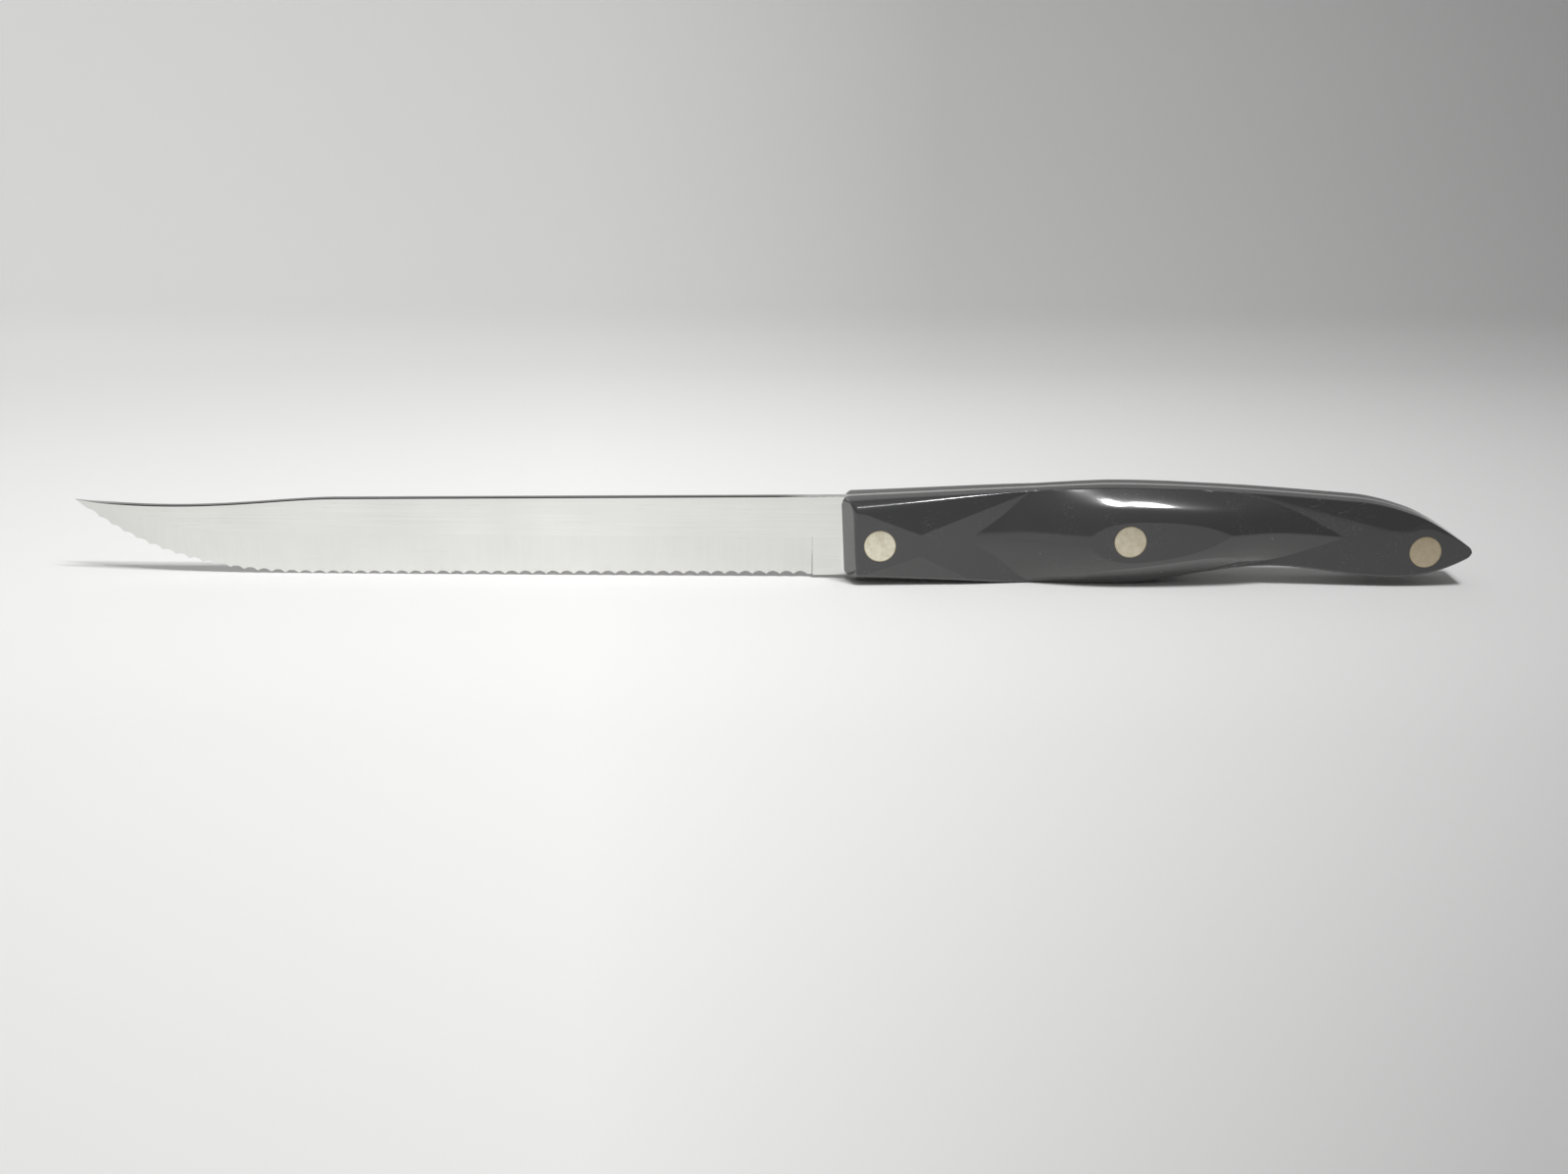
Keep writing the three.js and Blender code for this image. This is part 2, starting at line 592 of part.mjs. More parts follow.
function swell() {
  const flat = (p) => new THREE.Vector2(p.y, p.z);
  const places = steps(SWELL_START - CUT_MARGIN, SWELL_END_AT + CUT_MARGIN, SWELL_STEPS);
  const rings = places.map((s) => {
    const middle = (handleTop(s) + handleBottom(s)) / 2;
    const reach = (handleTop(s) - handleBottom(s)) / 2;
    const face = steps(-SWELL_OVERREACH, SWELL_OVERREACH, SWELL_SECTION_STEPS).map(
      (u) => new THREE.Vector3(s, swellSection(s, u), middle + u * reach),
    );
    return [new THREE.Vector3(s, 0, face[0].z), ...face, new THREE.Vector3(s, 0, face.at(-1).z)];
  });
  const outer = SWELL_HALF + CUT_MARGIN;
  const under = [places[0] - CUT_MARGIN, ...places, places.at(-1) + CUT_MARGIN].map((s) => {
    const low = handleBottom(s);
    return [
      new THREE.Vector3(s, BELLY_FLAT_HALF - CUT_MARGIN / BELLY_SLOPE, low - CUT_MARGIN),
      new THREE.Vector3(s, outer, low - CUT_MARGIN),
      new THREE.Vector3(s, outer, low + (outer - BELLY_FLAT_HALF) * BELLY_SLOPE),
    ];
  });
  const side = blockBeyond(
    new THREE.Vector3(0, SWELL_FLAT_HALF, 0),
    new THREE.Vector3(1, SWELL_FLAT_HALF, 0),
    new THREE.Vector3(0, SWELL_FLAT_HALF, 1),
  );
  return toSolid(loft(rings, flat)).subtract(side).subtract(toSolid(loft(under, flat)));
}

function scaleGeometry() {
  let scale = frontBlock().add(rearBlock()).add(swell()).intersect(crownedOutline());
  for (const rivet of RIVETS) {
    const seat = rivet.half - RIVET_HEAD_THICKNESS;
    const beyond = SWELL_HALF + CUT_MARGIN;
    scale = scale.subtract(hole(SLEEVE_RADIUS + RIVET_CLEARANCE, 0, beyond, rivet));
    scale = scale.subtract(hole(RIVET_HEAD_RADIUS + RIVET_CLEARANCE, seat, beyond, rivet));
  }
  return toGeometry(scale);
}

// The knife

const steel = { color: 0xdcdcd8, roughness: 0.22, metalness: 1 };
const nickelSilver = { color: 0xcfc6ad, roughness: 0.3, metalness: 1 };
const blackPlastic = { color: 0x2a2a2a, roughness: 0.12, metalness: 0 };

function piece(name, geometry, look) {
  const mesh = new THREE.Mesh(geometry, new THREE.MeshStandardMaterial(look));
  mesh.name = name;
  return mesh;
}

const handle = new THREE.Group();
handle.position.x = BLADE_LENGTH;
const rightScale = scaleGeometry();
handle.add(piece('left_scale', mirrored(rightScale), blackPlastic));
handle.add(piece('right_scale', rightScale, blackPlastic));
for (const rivet of RIVETS) {
  handle.add(piece(`${rivet.name}_rivet_sleeve`, rivetSleeve(rivet), nickelSilver));
  handle.add(piece(`${rivet.name}_rivet_post`, rivetPost(rivet), nickelSilver));
}

const knife = new THREE.Group();
knife.position.x = -(BLADE_LENGTH + HANDLE_LENGTH) / 2;
knife.add(piece('blade', bladeGeometry(), steel), handle);

export default knife;
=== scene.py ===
"""Carving knife: its finished surfaces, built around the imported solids.

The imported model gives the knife's place and box. The scales, the blade and the rivets are built here on finer
grids than the solids have, with soft edges that catch the light, and stand for the solids of the same name.
Shapes are worked out in millimetres along the knife and stored in metres.
"""

import math

import bpy
import numpy as np
from mathutils import Matrix, Vector


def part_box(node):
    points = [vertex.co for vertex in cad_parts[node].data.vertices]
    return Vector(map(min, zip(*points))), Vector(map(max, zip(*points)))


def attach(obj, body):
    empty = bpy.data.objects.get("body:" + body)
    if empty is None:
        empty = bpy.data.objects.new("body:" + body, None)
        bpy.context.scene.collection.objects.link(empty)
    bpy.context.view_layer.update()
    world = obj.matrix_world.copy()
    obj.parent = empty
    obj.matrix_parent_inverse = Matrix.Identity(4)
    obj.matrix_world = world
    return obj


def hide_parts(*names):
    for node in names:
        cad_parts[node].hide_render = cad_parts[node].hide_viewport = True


bl_info = {
    "name": "Carving knife",
    "version": (1, 0, 0),
    "blender": (4, 5, 0),
    "location": "3D View > Sidebar > Knife",
    "description": "Finishes a carving knife around its packed solids and sets a studio stage",
    "category": "Object",
}

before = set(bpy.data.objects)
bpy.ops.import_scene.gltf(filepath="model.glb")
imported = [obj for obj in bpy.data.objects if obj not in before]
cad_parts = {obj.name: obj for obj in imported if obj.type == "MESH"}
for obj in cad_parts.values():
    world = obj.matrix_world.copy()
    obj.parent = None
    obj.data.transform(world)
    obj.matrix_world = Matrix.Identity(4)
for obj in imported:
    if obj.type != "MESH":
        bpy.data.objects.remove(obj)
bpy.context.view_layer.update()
MM = 0.001
TIP_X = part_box("blade")[0].x / MM
HANDLE_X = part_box("left_scale")[0].x / MM
END_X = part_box("left_scale")[1].x / MM
BLADE_LENGTH = HANDLE_X - TIP_X
HANDLE_LENGTH = END_X - HANDLE_X
STOCK_HALF = 0.9

# Blade, measured from the tip
TIP_HEIGHT = 16.9
SWEEP_LENGTH = 58.8
CLIP_LENGTH = 60.0
CLIP_START_HEIGHT = 17.7
CLIP_PULL = 3.85
CLIP_UPPER_SHARE = 0.73
CLIP_LOWER_SHARE = 0.47
SPINE_END_HEIGHT = 19.0
RICASSO_LENGTH = 6.6
PLUNGE_AT = BLADE_LENGTH - RICASSO_LENGTH
HEEL_LIFT = 0.68
RICASSO_LIFT = 0.85
GRIND_HEIGHT = 9.5
GRIND_TURN = 45.0
GRIND_RUN = 34.0
GRIND_RISE = 5.2
GRIND_POWER = 2.6
GRIND_HOLLOW = 0.11
EDGE_HALF = 0.12
SCALLOP_PITCH = 3.1
SCALLOP_LAND = 0.5
SCALLOP_DEPTH = 0.82
SCALLOP_TIP_DEPTH = 0.5
SCALLOP_LEAN = math.radians(15)
SCALLOP_HEEL_MARGIN = 1.3
SCALLOP_TIP_MARGIN = 3.0
SCALLOP_HOLLOW_HEIGHT = 2.6
# Painted shade on the steel: darker along the top of the spine, at the plunge line, towards the heel and
# towards the tip
SPINE_DARK_START = 14.0
SPINE_DARK_END = 156.0
SPINE_FADE = 10.0
PLUNGE_SHADE = 0.2
HEEL_SHADE = 0.08
HEEL_SHADE_START = 100.0
TIP_SHADE = 0.1
TIP_SHADE_END = 35.0

# Handle profile, measured from the handle's front; a knot is its place, its height and, if given, its slope
FRONT_TOP_SLOPE = 0.0545
RISE_END_AT = 52.0
CREST = (61.0, 22.13)
SHOULDER = (HANDLE_LENGTH - 25.7, 19.36, -0.078)
BACK = (HANDLE_LENGTH - 12.7, 16.34, -0.35)
BEAK_HEIGHT = 8.0
BEAK_RADIUS = 1.9
BEAK_TOP_ANGLE = math.radians(55)
BEAK_BOTTOM_ANGLE = math.radians(60)
BEAK_CENTRE = HANDLE_LENGTH - BEAK_RADIUS
BELLY_AT = 59.5
HOLLOW = (HANDLE_LENGTH - 44.2, 4.5)
HEEL = (HANDLE_LENGTH - 17.2, 2.05)
FRONT_TOP_CORNER = 2.0
FRONT_BOTTOM_CORNER = 2.2

# Widths of the scales, measured from the handle's front
HEAD_PROUD = 0.02
FRONT_HALF = 7.6
FRONT_REACH = 0.5
FRONT_SLANT = 2.7
FRONT_SLANT_SLOPE = FRONT_SLANT / (FRONT_HALF - STOCK_HALF)
FRONT_LEAN = 0.9
FRONT_LEAN_SLOPE = FRONT_LEAN / (SPINE_END_HEIGHT - RICASSO_LIFT)
SCOOP_START = 17.0
SCOOP_END = 42.0
SCOOP_END_HALF = 3.6
UPPER_FACET_FRONT = 2.9
UPPER_FACET_FRONT_DROP = 2.0
UPPER_FACET_VERTEX_HEIGHT = 11.9
# Three corners: place, half width, height
LOWER_FACET = ((3.6, FRONT_HALF, 2.3), (SCOOP_START, FRONT_HALF, 7.0), (SCOOP_END, 4.9, 1.35))
REAR_HALF = 5.4
REAR_FLAT = HANDLE_LENGTH - 18.7
# Places and half widths
REAR_PLAN = ((48.0, 2.7), (HANDLE_LENGTH - 43, 4.6), (REAR_FLAT, REAR_HALF))
REAR_FACET_TOP = (HANDLE_LENGTH - 21.7, 4.45)
# Place and height
REAR_FACET_START = (HANDLE_LENGTH - 39.9, 18.4)
REAR_FACET_FOOT_HEIGHT = 12.8
BOSS_RADIUS = 5.2
BOSS_WALL = 1.2
BOSS_SOFTNESS = 3
SWELL_FLAT_HALF = 8.95
SWELL_START = 27.5
SWELL_END = 110.7
SWELL_OVERLAP = 3.0

# Swell, as knots of place, value and slope: its middle line, its edges and the softness of its ridge
SWELL_MIDDLE = (
    (35.5, 5.4, 0.0),
    (51.0, 8.4, 0.2),
    (65.0, 9.75, 0.0),
    (85.9, 8.85, -0.12),
    (97.5, 6.3, -0.17),
)
SWELL_START_SLOPE = -0.13
SWELL_END_SLOPE = -0.07
SWELL_EDGE = ((35.5, 3.4, 0.0), (68.0, 4.15, 0.0), (94.0, 3.0, 0.0))
BEVEL_AT = 0.6
BEVEL_ROUND = 0.22
SWELL_POWER = 4
RIDGE_FALL = 1.7
RIDGE_ROUND = ((51.0, 0.25, 0.0), (85.9, 0.03, 0.0))

# Top and bottom of the scales
TOP_CROWN = 80.0
BOTTOM_FLAT_HALF = 4.4
BOTTOM_SLOPE = 0.45
BOTTOM_SOFTNESS = 0.4
BELLY_FLAT_HALF = 4.2
BELLY_SLOPE = 1.1
EDGE_ROUND_LIMIT = 0.4

# Rivets: place along the handle, height, half width there
RIVETS = {
    "front": (8.0, 9.3, FRONT_HALF),
    "middle": (63.0, 11.0, SWELL_FLAT_HALF),
    "rear": (HANDLE_LENGTH - 10.4, 8.2, REAR_HALF),
}
HEAD_RADIUS = 3.572
HEAD_THICKNESS = 1.6
SLEEVE_RADIUS = 2.4
POST_RADIUS = 1.6
SLEEVE_BORE = 1.65
POST_END_GAP = 0.6
SLEEVE_END_GAP = 0.4

# Grid of the scales' skins
FRONT_ROWS = 30
FRONT_ROWS_LENGTH = 3.4
FRONT_ROWS_POWER = 1.5
FRONT_ROW_INSET = 0.004
BEAK_ROWS = 22
BEAK_ROW_INSET = 0.001
FAN_COLUMNS = 46
CORE_COLUMNS = 64
FAN_ROOM = 4.6
RAY_LENGTH = 15.0
RAY_HALVINGS = 34
SLOPE_STEP = 0.004
TANG_FACING = 0.9

# Grid of the blade's skin
CLIP_POINTS = 200
ARC_POINTS = 4000
SCALLOP_ROWS = 12
TIP_ROWS = 26
TIP_ROWS_POWER = 1.3
HEEL_ROWS = 5
PLUNGE_ROWS = 26
RICASSO_ROWS = 10
TANG_ROWS = 140
TANG_BEAK_ROWS = 16
TANG_BEAK_INSET = 0.002
BAND_COLUMNS = 17
FLAT_COLUMNS = 7
SPINE_COLUMNS = 20
SPINE_ROUND_SHARE = 0.45
BAND_STEP = 0.05
EDGE_THICKNESS = 0.01
EDGE_HALVINGS = 30
NO_CUT = 9.0
BLADE_SHARP_ANGLE = math.radians(7)

# Turned skins of the rivets
TURNED_SEGMENTS = 96
RIM_POINTS = 7
AXIS_RADIUS = 0.02
RIVET_SHARP_ANGLE = math.radians(30)

# Points that agree to this many decimals of a millimetre are joined
WELD_DIGITS = 4

# Colour sockets of a Mix node, by number because its float and vector sockets have the same names
MIX_SHARE = 0
MIX_FIRST = 6
MIX_SECOND = 7
MIX_RESULT = 2

# Finishes
PLASTIC_IOR = 1.5
GLOSS_IOR = 1.58
GLOSS_VARIATION = (0.8, 1.25)
MARK_ROUGHNESS = 0.3
UNDERCUT_SLOPES = (-0.35, -0.04)
TOP_SLOPES = (0.75, 0.97)
METAL_VARIATION = (0.85, 1.2)
STEEL_SHADES = (0.9, 1.06)
STEEL_SCRATCH = (0.55, 0.55, 0.54, 1.0)
STEEL_SCRATCHES = 0.5
BAND_TINT = 0.4
BAND_ROUGHNESS = 0.07
RIVET_SCRATCH = (0.42, 0.38, 0.29, 1.0)
RIVET_SCRATCHES = 0.8
TARNISH = 0.34
TARNISH_SPREAD = (0.36, 0.6)
TARNISHED_RIM = (0.3, 0.05)

# Stage, in metres
PAPER_HALF_WIDTH = 1.8
PAPER_FRONT = -1.6
PAPER_BEND_AT = 0.4
PAPER_BEND = 0.25
PAPER_BEND_POINTS = 24
PAPER_TOP = 1.4
PAPER_ROUGHNESS = (0.75, 0.9)
PAPER_SHEEN = 0.2
# Painted light and shade on the paper: its tones fall off away from the knife, it is darker to the right, and a
# painted glow lies behind on the left
PAPER_PAINTED_FALLOFF = ((-0.3, 0.62), (-0.1, 0.9), (0.0, 0.97), (0.08, 0.98), (0.16, 0.97), (0.27, 0.84))
PAPER_WALL_AT = 0.6
TONES_FROM = -0.4
TONES_TO = 0.7
FAN_FROM = 0.43
FAN_NEAREST = 0.15
SHADE_FAN = (-0.1, 0.45)
GLOW_FAN = (-0.38, 0.08)
GLOW_DEPTH = (0.05, 0.3)
ROOM_RISE = (0.3, 1.0)
ROOM_SIDE_LIGHT = (1.15, 0.75)
ROOM_SIDES = (0.0, 0.4)
SENSOR_WIDTH = 36
NEAREST_SEEN = 0.01


# Curves

def chain(knots):
    """A smooth curve through (place, value, slope) knots, straight beyond its ends."""
    at, value, slope = np.array(knots, float).T

    def curve(s):
        s = np.asarray(s, float)
        i = np.clip(np.searchsorted(at, s, side="right"), 1, len(at) - 1)
        width = at[i] - at[i - 1]
        u = np.clip((s - at[i - 1]) / width, 0, 1)
        rise = value[i - 1] + (value[i] - value[i - 1]) * u * u * (3 - 2 * u)
        bend = width * u * (1 - u) * ((1 - u) * slope[i - 1] - u * slope[i])
        before = np.minimum(s - at[0], 0) * slope[0]
        after = np.maximum(s - at[-1], 0) * slope[-1]
        return rise + bend + before + after

    return curve


def beak_point(angle):
    return BEAK_CENTRE + BEAK_RADIUS * math.cos(angle), BEAK_HEIGHT + BEAK_RADIUS * math.sin(angle)


BEAK_TOP = beak_point(BEAK_TOP_ANGLE)
BEAK_BOTTOM = beak_point(-BEAK_BOTTOM_ANGLE)
top_curve = chain(
    [
        (0, SPINE_END_HEIGHT, FRONT_TOP_SLOPE),
        (RISE_END_AT, SPINE_END_HEIGHT + FRONT_TOP_SLOPE * RISE_END_AT, FRONT_TOP_SLOPE),
        (*CREST, 0),
        SHOULDER,
        BACK,
        (*BEAK_TOP, -1 / math.tan(BEAK_TOP_ANGLE)),
    ]
)
bottom_curve = chain(
    [
        (0, RICASSO_LIFT, 0),
        (BELLY_AT, 0, 0),
        (*HOLLOW, 0),
        (*HEEL, 0),
        (*BEAK_BOTTOM, 1 / math.tan(BEAK_BOTTOM_ANGLE)),
    ]
)


def scoop_half(s):
    return FRONT_HALF + (SCOOP_END_HALF - FRONT_HALF) * (s - SCOOP_START) / (SCOOP_END - SCOOP_START)


def rear_half(s):
    return np.interp(s, [p[0] for p in REAR_PLAN], [p[1] for p in REAR_PLAN])


swell_curve = chain(
    [
        (SWELL_START, scoop_half(SWELL_START), SWELL_START_SLOPE),
        *SWELL_MIDDLE,
        (SWELL_END, rear_half(SWELL_END), SWELL_END_SLOPE),
    ]
)
swell_edge = chain(SWELL_EDGE)
ridge_round = chain(RIDGE_ROUND)


def beak_reach(s):
    return np.sqrt(np.maximum(BEAK_RADIUS**2 - (s - BEAK_CENTRE) ** 2, 0))


def handle_top(s):
    return np.where(s < BEAK_TOP[0], top_curve(s), BEAK_HEIGHT + beak_reach(s))


def handle_bottom(s):
    return np.where(s < BEAK_BOTTOM[0], bottom_curve(s), BEAK_HEIGHT - beak_reach(s))


def corner_cut(s, radius):
    """How far a rounded front corner lies inside the handle's line."""
    return radius - np.sqrt(radius**2 - np.clip(radius - s, 0, radius) ** 2)


def rounded_min(a, b, reach):
    """The smaller of two values, rounded where they are within reach of each other."""
    near = np.maximum(reach - np.abs(a - b), 0)
    return np.minimum(a, b) - near * near / (4 * reach)


def rounded_max(a, b, reach):
    return -rounded_min(-a, -b, reach)


def plane_half(corners):
    """Half width of the plane through three corners (place, half width, height)."""
    rows = [(1, s, z) for s, _, z in corners]
    level, along, up = np.linalg.solve(np.array(rows), [y for _, y, _ in corners])
    return lambda s, z: level + along * s + up * z


upper_facet = plane_half(
    [
        (UPPER_FACET_FRONT, FRONT_HALF, top_curve(UPPER_FACET_FRONT) - UPPER_FACET_FRONT_DROP),
        (SCOOP_START, FRONT_HALF, UPPER_FACET_VERTEX_HEIGHT),
        (SCOOP_END, SCOOP_END_HALF, top_curve(SCOOP_END)),
    ]
)
lower_facet = plane_half(LOWER_FACET)
rear_facet = plane_half(
    [
        (REAR_FACET_START[0], rear_half(REAR_FACET_START[0]), REAR_FACET_START[1]),
        (*REAR_FACET_TOP, top_curve(REAR_FACET_TOP[0])),
        (REAR_FLAT, REAR_HALF, REAR_FACET_FOOT_HEIGHT),
    ]
)


def ramp(u):
    u = np.clip(u, 0, 1)
    return u * u * (3 - 2 * u)


def bevel(u):
    return np.hypot(u - BEVEL_AT, BEVEL_ROUND) + u


def swell_half(s, z, crease):
    """Half width of the swell: a roof on each side of its middle line, falling away to its edges."""
    low = bottom_curve(s)
    high = top_curve(s)
    u = (2 * z - high - low) / (high - low)
    soft = ridge_round(s)
    ridge = (np.hypot(u, soft) - soft) / (np.hypot(1, soft) - soft)
    rest = swell_curve(s) - swell_edge(s) - RIDGE_FALL
    bend = np.where(u > 0, (bevel(u) - bevel(0)) / (bevel(1) - bevel(0)), np.abs(u) ** SWELL_POWER)
    side = swell_curve(s) - RIDGE_FALL * ridge - rest * bend
    side = rounded_min(side, SWELL_FLAT_HALF, crease)
    side = rounded_min(side, BELLY_FLAT_HALF + (z - low) / BELLY_SLOPE, crease)
    inside = (s > SWELL_START - SWELL_OVERLAP) & (s < SWELL_END + SWELL_OVERLAP)
    return np.where(inside, side, 0)


def side_half(s, z, crease):
    """Half width of the scale at a place and height."""
    front = rounded_min(FRONT_HALF, scoop_half(s), crease)
    front = rounded_min(front, upper_facet(s, z), crease)
    front = rounded_min(front, lower_facet(s, z), crease)
    place, height, _ = RIVETS["rear"]
    boss = ramp((np.hypot(s - place, z - height) - BOSS_RADIUS) / BOSS_WALL)
    rear = rear_half(s)
    rear = rear - boss * rounded_max(rear - rear_facet(s, z), 0, BOSS_SOFTNESS * crease)
    return rounded_max(rounded_max(front, rear, crease), swell_half(s, z, crease), crease) - HEAD_PROUD


def inside_scale(s, y, z, look):
    """Positive inside the right scale, zero on its surface."""
    room = EDGE_ROUND_LIMIT * (handle_top(s) - handle_bottom(s))
    fade = ramp(s / SCOOP_END)
    crown = np.maximum(y - STOCK_HALF, 0) ** 2 / (2 * TOP_CROWN)
    top = handle_top(s) - corner_cut(s + FRONT_REACH, FRONT_TOP_CORNER) - np.minimum(crown, room) - z
    rise = BOTTOM_SLOPE * rounded_max(y - BOTTOM_FLAT_HALF, 0, BOTTOM_SOFTNESS)
    bottom = z - handle_bottom(s) - corner_cut(s + FRONT_REACH, FRONT_BOTTOM_CORNER) - np.minimum(rise, room)
    side = side_half(s, z, look.crease_round / MM) - y
    front = s + FRONT_REACH - FRONT_SLANT_SLOPE * (y - STOCK_HALF) - FRONT_LEAN_SLOPE * (SPINE_END_HEIGHT - z)
    front = front / math.hypot(1, FRONT_SLANT_SLOPE, FRONT_LEAN_SLOPE)
    front_round = look.front_edge_round / MM
    edge_round = look.edge_round / MM
    inside = rounded_min(side, top, front_round + (edge_round - front_round) * fade)
    inside = rounded_min(inside, bottom, look.bottom_round / MM)
    return rounded_min(inside, front, look.end_round / MM)


# Meshes

def mesh_object(name, points, faces, sharp_angle=None):
    """A smooth-shaded object from points in millimetres."""
    mesh = bpy.data.meshes.new(name)
    mesh.from_pydata((np.asarray(points) * MM).tolist(), [], faces)
    mesh.polygons.foreach_set("use_smooth", np.ones(len(mesh.polygons), bool))
    if sharp_angle is not None:
        mesh.set_sharp_from_angle(angle=sharp_angle)
    mesh.update()
    made = bpy.data.objects.new(name, mesh)
    bpy.context.scene.collection.objects.link(made)
    return made


def sheet_faces(rows, columns):
    """Quads between the neighbouring rows of a grid."""
    corners = np.arange(rows * columns).reshape(rows, columns)
    quads = np.stack([corners[:-1, :-1], corners[1:, :-1], corners[1:, 1:], corners[:-1, 1:]], -1)
    return [tuple(quad) for quad in quads.reshape(-1, 4).tolist()]


def tube_faces(rows, columns):
    """Quads round the closed rows of a grid, and its two end rows as faces."""
    corners = np.arange(rows * columns).reshape(rows, columns)
    after = np.roll(corners, -1, axis=1)
    quads = np.stack([corners[:-1], corners[1:], after[1:], after[:-1]], -1)
    ends = [tuple(corners[0].tolist()), tuple(corners[-1][::-1].tolist())]
    return [tuple(quad) for quad in quads.reshape(-1, 4).tolist()] + ends


def welded(points, faces):
    """Joins points that lie on top of each other: the points that stay, and the faces between them."""
    places = np.round(points, WELD_DIGITS)
    _, kept, joined = np.unique(places, axis=0, return_index=True, return_inverse=True)
    joined = joined.reshape(-1).tolist()
    made = []
    for face in faces:
        corners = [joined[corner] for corner in face]
        corners = [here for here, after in zip(corners, corners[1:] + corners[:1]) if here != after]
        if len(corners) > 2 and len(set(corners)) == len(corners):
            made.append(tuple(corners))
    return kept, made


def scale_grid(look):
    """Points and outward directions of the right scale's skin, one row for each place along the handle."""
    first = FRONT_ROW_INSET - FRONT_REACH
    front = first + FRONT_ROWS_LENGTH * np.linspace(0, 1, FRONT_ROWS) ** FRONT_ROWS_POWER
    quarter = np.linspace(0, math.pi / 2, BEAK_ROWS)
    beak = BEAK_CENTRE + (BEAK_RADIUS - BEAK_ROW_INSET) * np.sin(quarter)
    count = int((beak[0] - front[-1]) / (look.grid / MM))
    middle = np.linspace(front[-1], beak[0], count)[1:-1]
    place = np.concatenate([front, middle, beak])[:, None]
    fan = np.linspace(0, math.pi / 2, FAN_COLUMNS)
    turn = np.concatenate([fan[::-1], np.zeros(CORE_COLUMNS), -fan])[None, :]
    down = np.linspace(1, -1, CORE_COLUMNS + 2)[1:-1]
    share = np.concatenate([np.ones(FAN_COLUMNS), down, -np.ones(FAN_COLUMNS)])[None, :]
    high = handle_top(place)
    low = handle_bottom(place)
    core = np.maximum((high - low) / 2 - FAN_ROOM, 0)
    start_z = (high + low) / 2 + core * share
    near = np.zeros_like(start_z)
    far = np.full_like(start_z, RAY_LENGTH)
    lean = FRONT_LEAN_SLOPE * (1 - ramp(place / SCOOP_START))

    def along_ray(reach):
        z = start_z + reach * np.sin(turn)
        return place + lean * (SPINE_END_HEIGHT - z), STOCK_HALF + reach * np.cos(turn), z

    for _ in range(RAY_HALVINGS):
        reach = (near + far) / 2
        out = inside_scale(*along_ray(reach), look) < 0
        far = np.where(out, reach, far)
        near = np.where(out, near, reach)
    s, y, z = along_ray(near)
    step = SLOPE_STEP
    slopes = [
        inside_scale(s - step, y, z, look) - inside_scale(s + step, y, z, look),
        inside_scale(s, y - step, z, look) - inside_scale(s, y + step, z, look),
        inside_scale(s, y, z - step, look) - inside_scale(s, y, z + step, look),
    ]
    outward = np.stack(slopes, -1)
    outward /= np.linalg.norm(outward, axis=-1, keepdims=True)
    return np.stack([HANDLE_X + s, y, z], -1), outward


def scale_object(name, grid, outward, hand):
    """One scale's skin, closed along the tang; hand is 1 for the right one and -1 for the left."""
    rows, columns = grid.shape[:2]
    flip = np.array([1, hand, 1])
    points = grid.reshape(-1, 3) * flip
    faces = tube_faces(rows, columns)
    if hand < 0:
        faces = [face[::-1] for face in faces]
    kept, faces = welded(points, faces)
    made = mesh_object(name, points[kept], faces)
    mesh = made.data
    corners = np.empty(len(mesh.loops), np.int32)
    mesh.loops.foreach_get("vertex_index", corners)
    directions = (outward.reshape(-1, 3) * flip)[kept][corners]
    flat = np.empty(len(mesh.polygons) * 3, np.float32)
    mesh.polygons.foreach_get("normal", flat)
    counts = np.empty(len(mesh.polygons), np.int32)
    mesh.polygons.foreach_get("loop_total", counts)
    face_directions = np.repeat(flat.reshape(-1, 3), counts, axis=0)
    against_tang = face_directions[:, 1] * hand < -TANG_FACING
    directions[against_tang] = face_directions[against_tang]
    mesh.normals_split_custom_set(directions.tolist())
    return made


# Blade

def edge_height(d):
    sweep = TIP_HEIGHT * np.clip(1 - d / SWEEP_LENGTH, 0, 1) ** 3
    rise = HEEL_LIFT * np.clip((d - SWEEP_LENGTH) / (PLUNGE_AT - SWEEP_LENGTH), 0, 1)
    ricasso = (RICASSO_LIFT - HEEL_LIFT) * np.clip((d - PLUNGE_AT) / RICASSO_LENGTH, 0, 1)
    handle = np.where(d > BLADE_LENGTH, handle_bottom(d - BLADE_LENGTH) - RICASSO_LIFT, 0)
    return sweep + rise + ricasso + handle


def sweep_slope(d):
    return np.where(d < SWEEP_LENGTH, -3 * TIP_HEIGHT / SWEEP_LENGTH * (1 - d / SWEEP_LENGTH) ** 2, 0)


def spine_height(d):
    t = np.linspace(0, 1, CLIP_POINTS)
    knots = [
        (0, TIP_HEIGHT),
        (CLIP_LENGTH * CLIP_LOWER_SHARE, CLIP_START_HEIGHT - CLIP_PULL),
        (CLIP_LENGTH * CLIP_UPPER_SHARE, CLIP_START_HEIGHT),
        (CLIP_LENGTH, CLIP_START_HEIGHT),
    ]
    shares = [(1 - t) ** 3, 3 * t * (1 - t) ** 2, 3 * t * t * (1 - t), t**3]
    along = sum(w * k[0] for w, k in zip(shares, knots))
    up = sum(w * k[1] for w, k in zip(shares, knots))
    along = np.append(along, BLADE_LENGTH)
    up = np.append(up, SPINE_END_HEIGHT)
    return np.where(d > BLADE_LENGTH, handle_top(d - BLADE_LENGTH), np.interp(d, along, up))


def grind_top(d):
    return GRIND_HEIGHT + GRIND_RISE * (np.maximum(GRIND_TURN - d, 0) / GRIND_RUN) ** GRIND_POWER


def ground_half(d, z, plunge_round):
    """Half thickness of the blade before the scallops are cut."""
    low = edge_height(d)
    u = np.clip((z - low) / (grind_top(d) - low), 0, 1)
    ground = EDGE_HALF + (STOCK_HALF - EDGE_HALF) * u - 4 * GRIND_HOLLOW * u * (1 - u)
    return STOCK_HALF - (STOCK_HALF - ground) * ramp((PLUNGE_AT - d) / plunge_round)


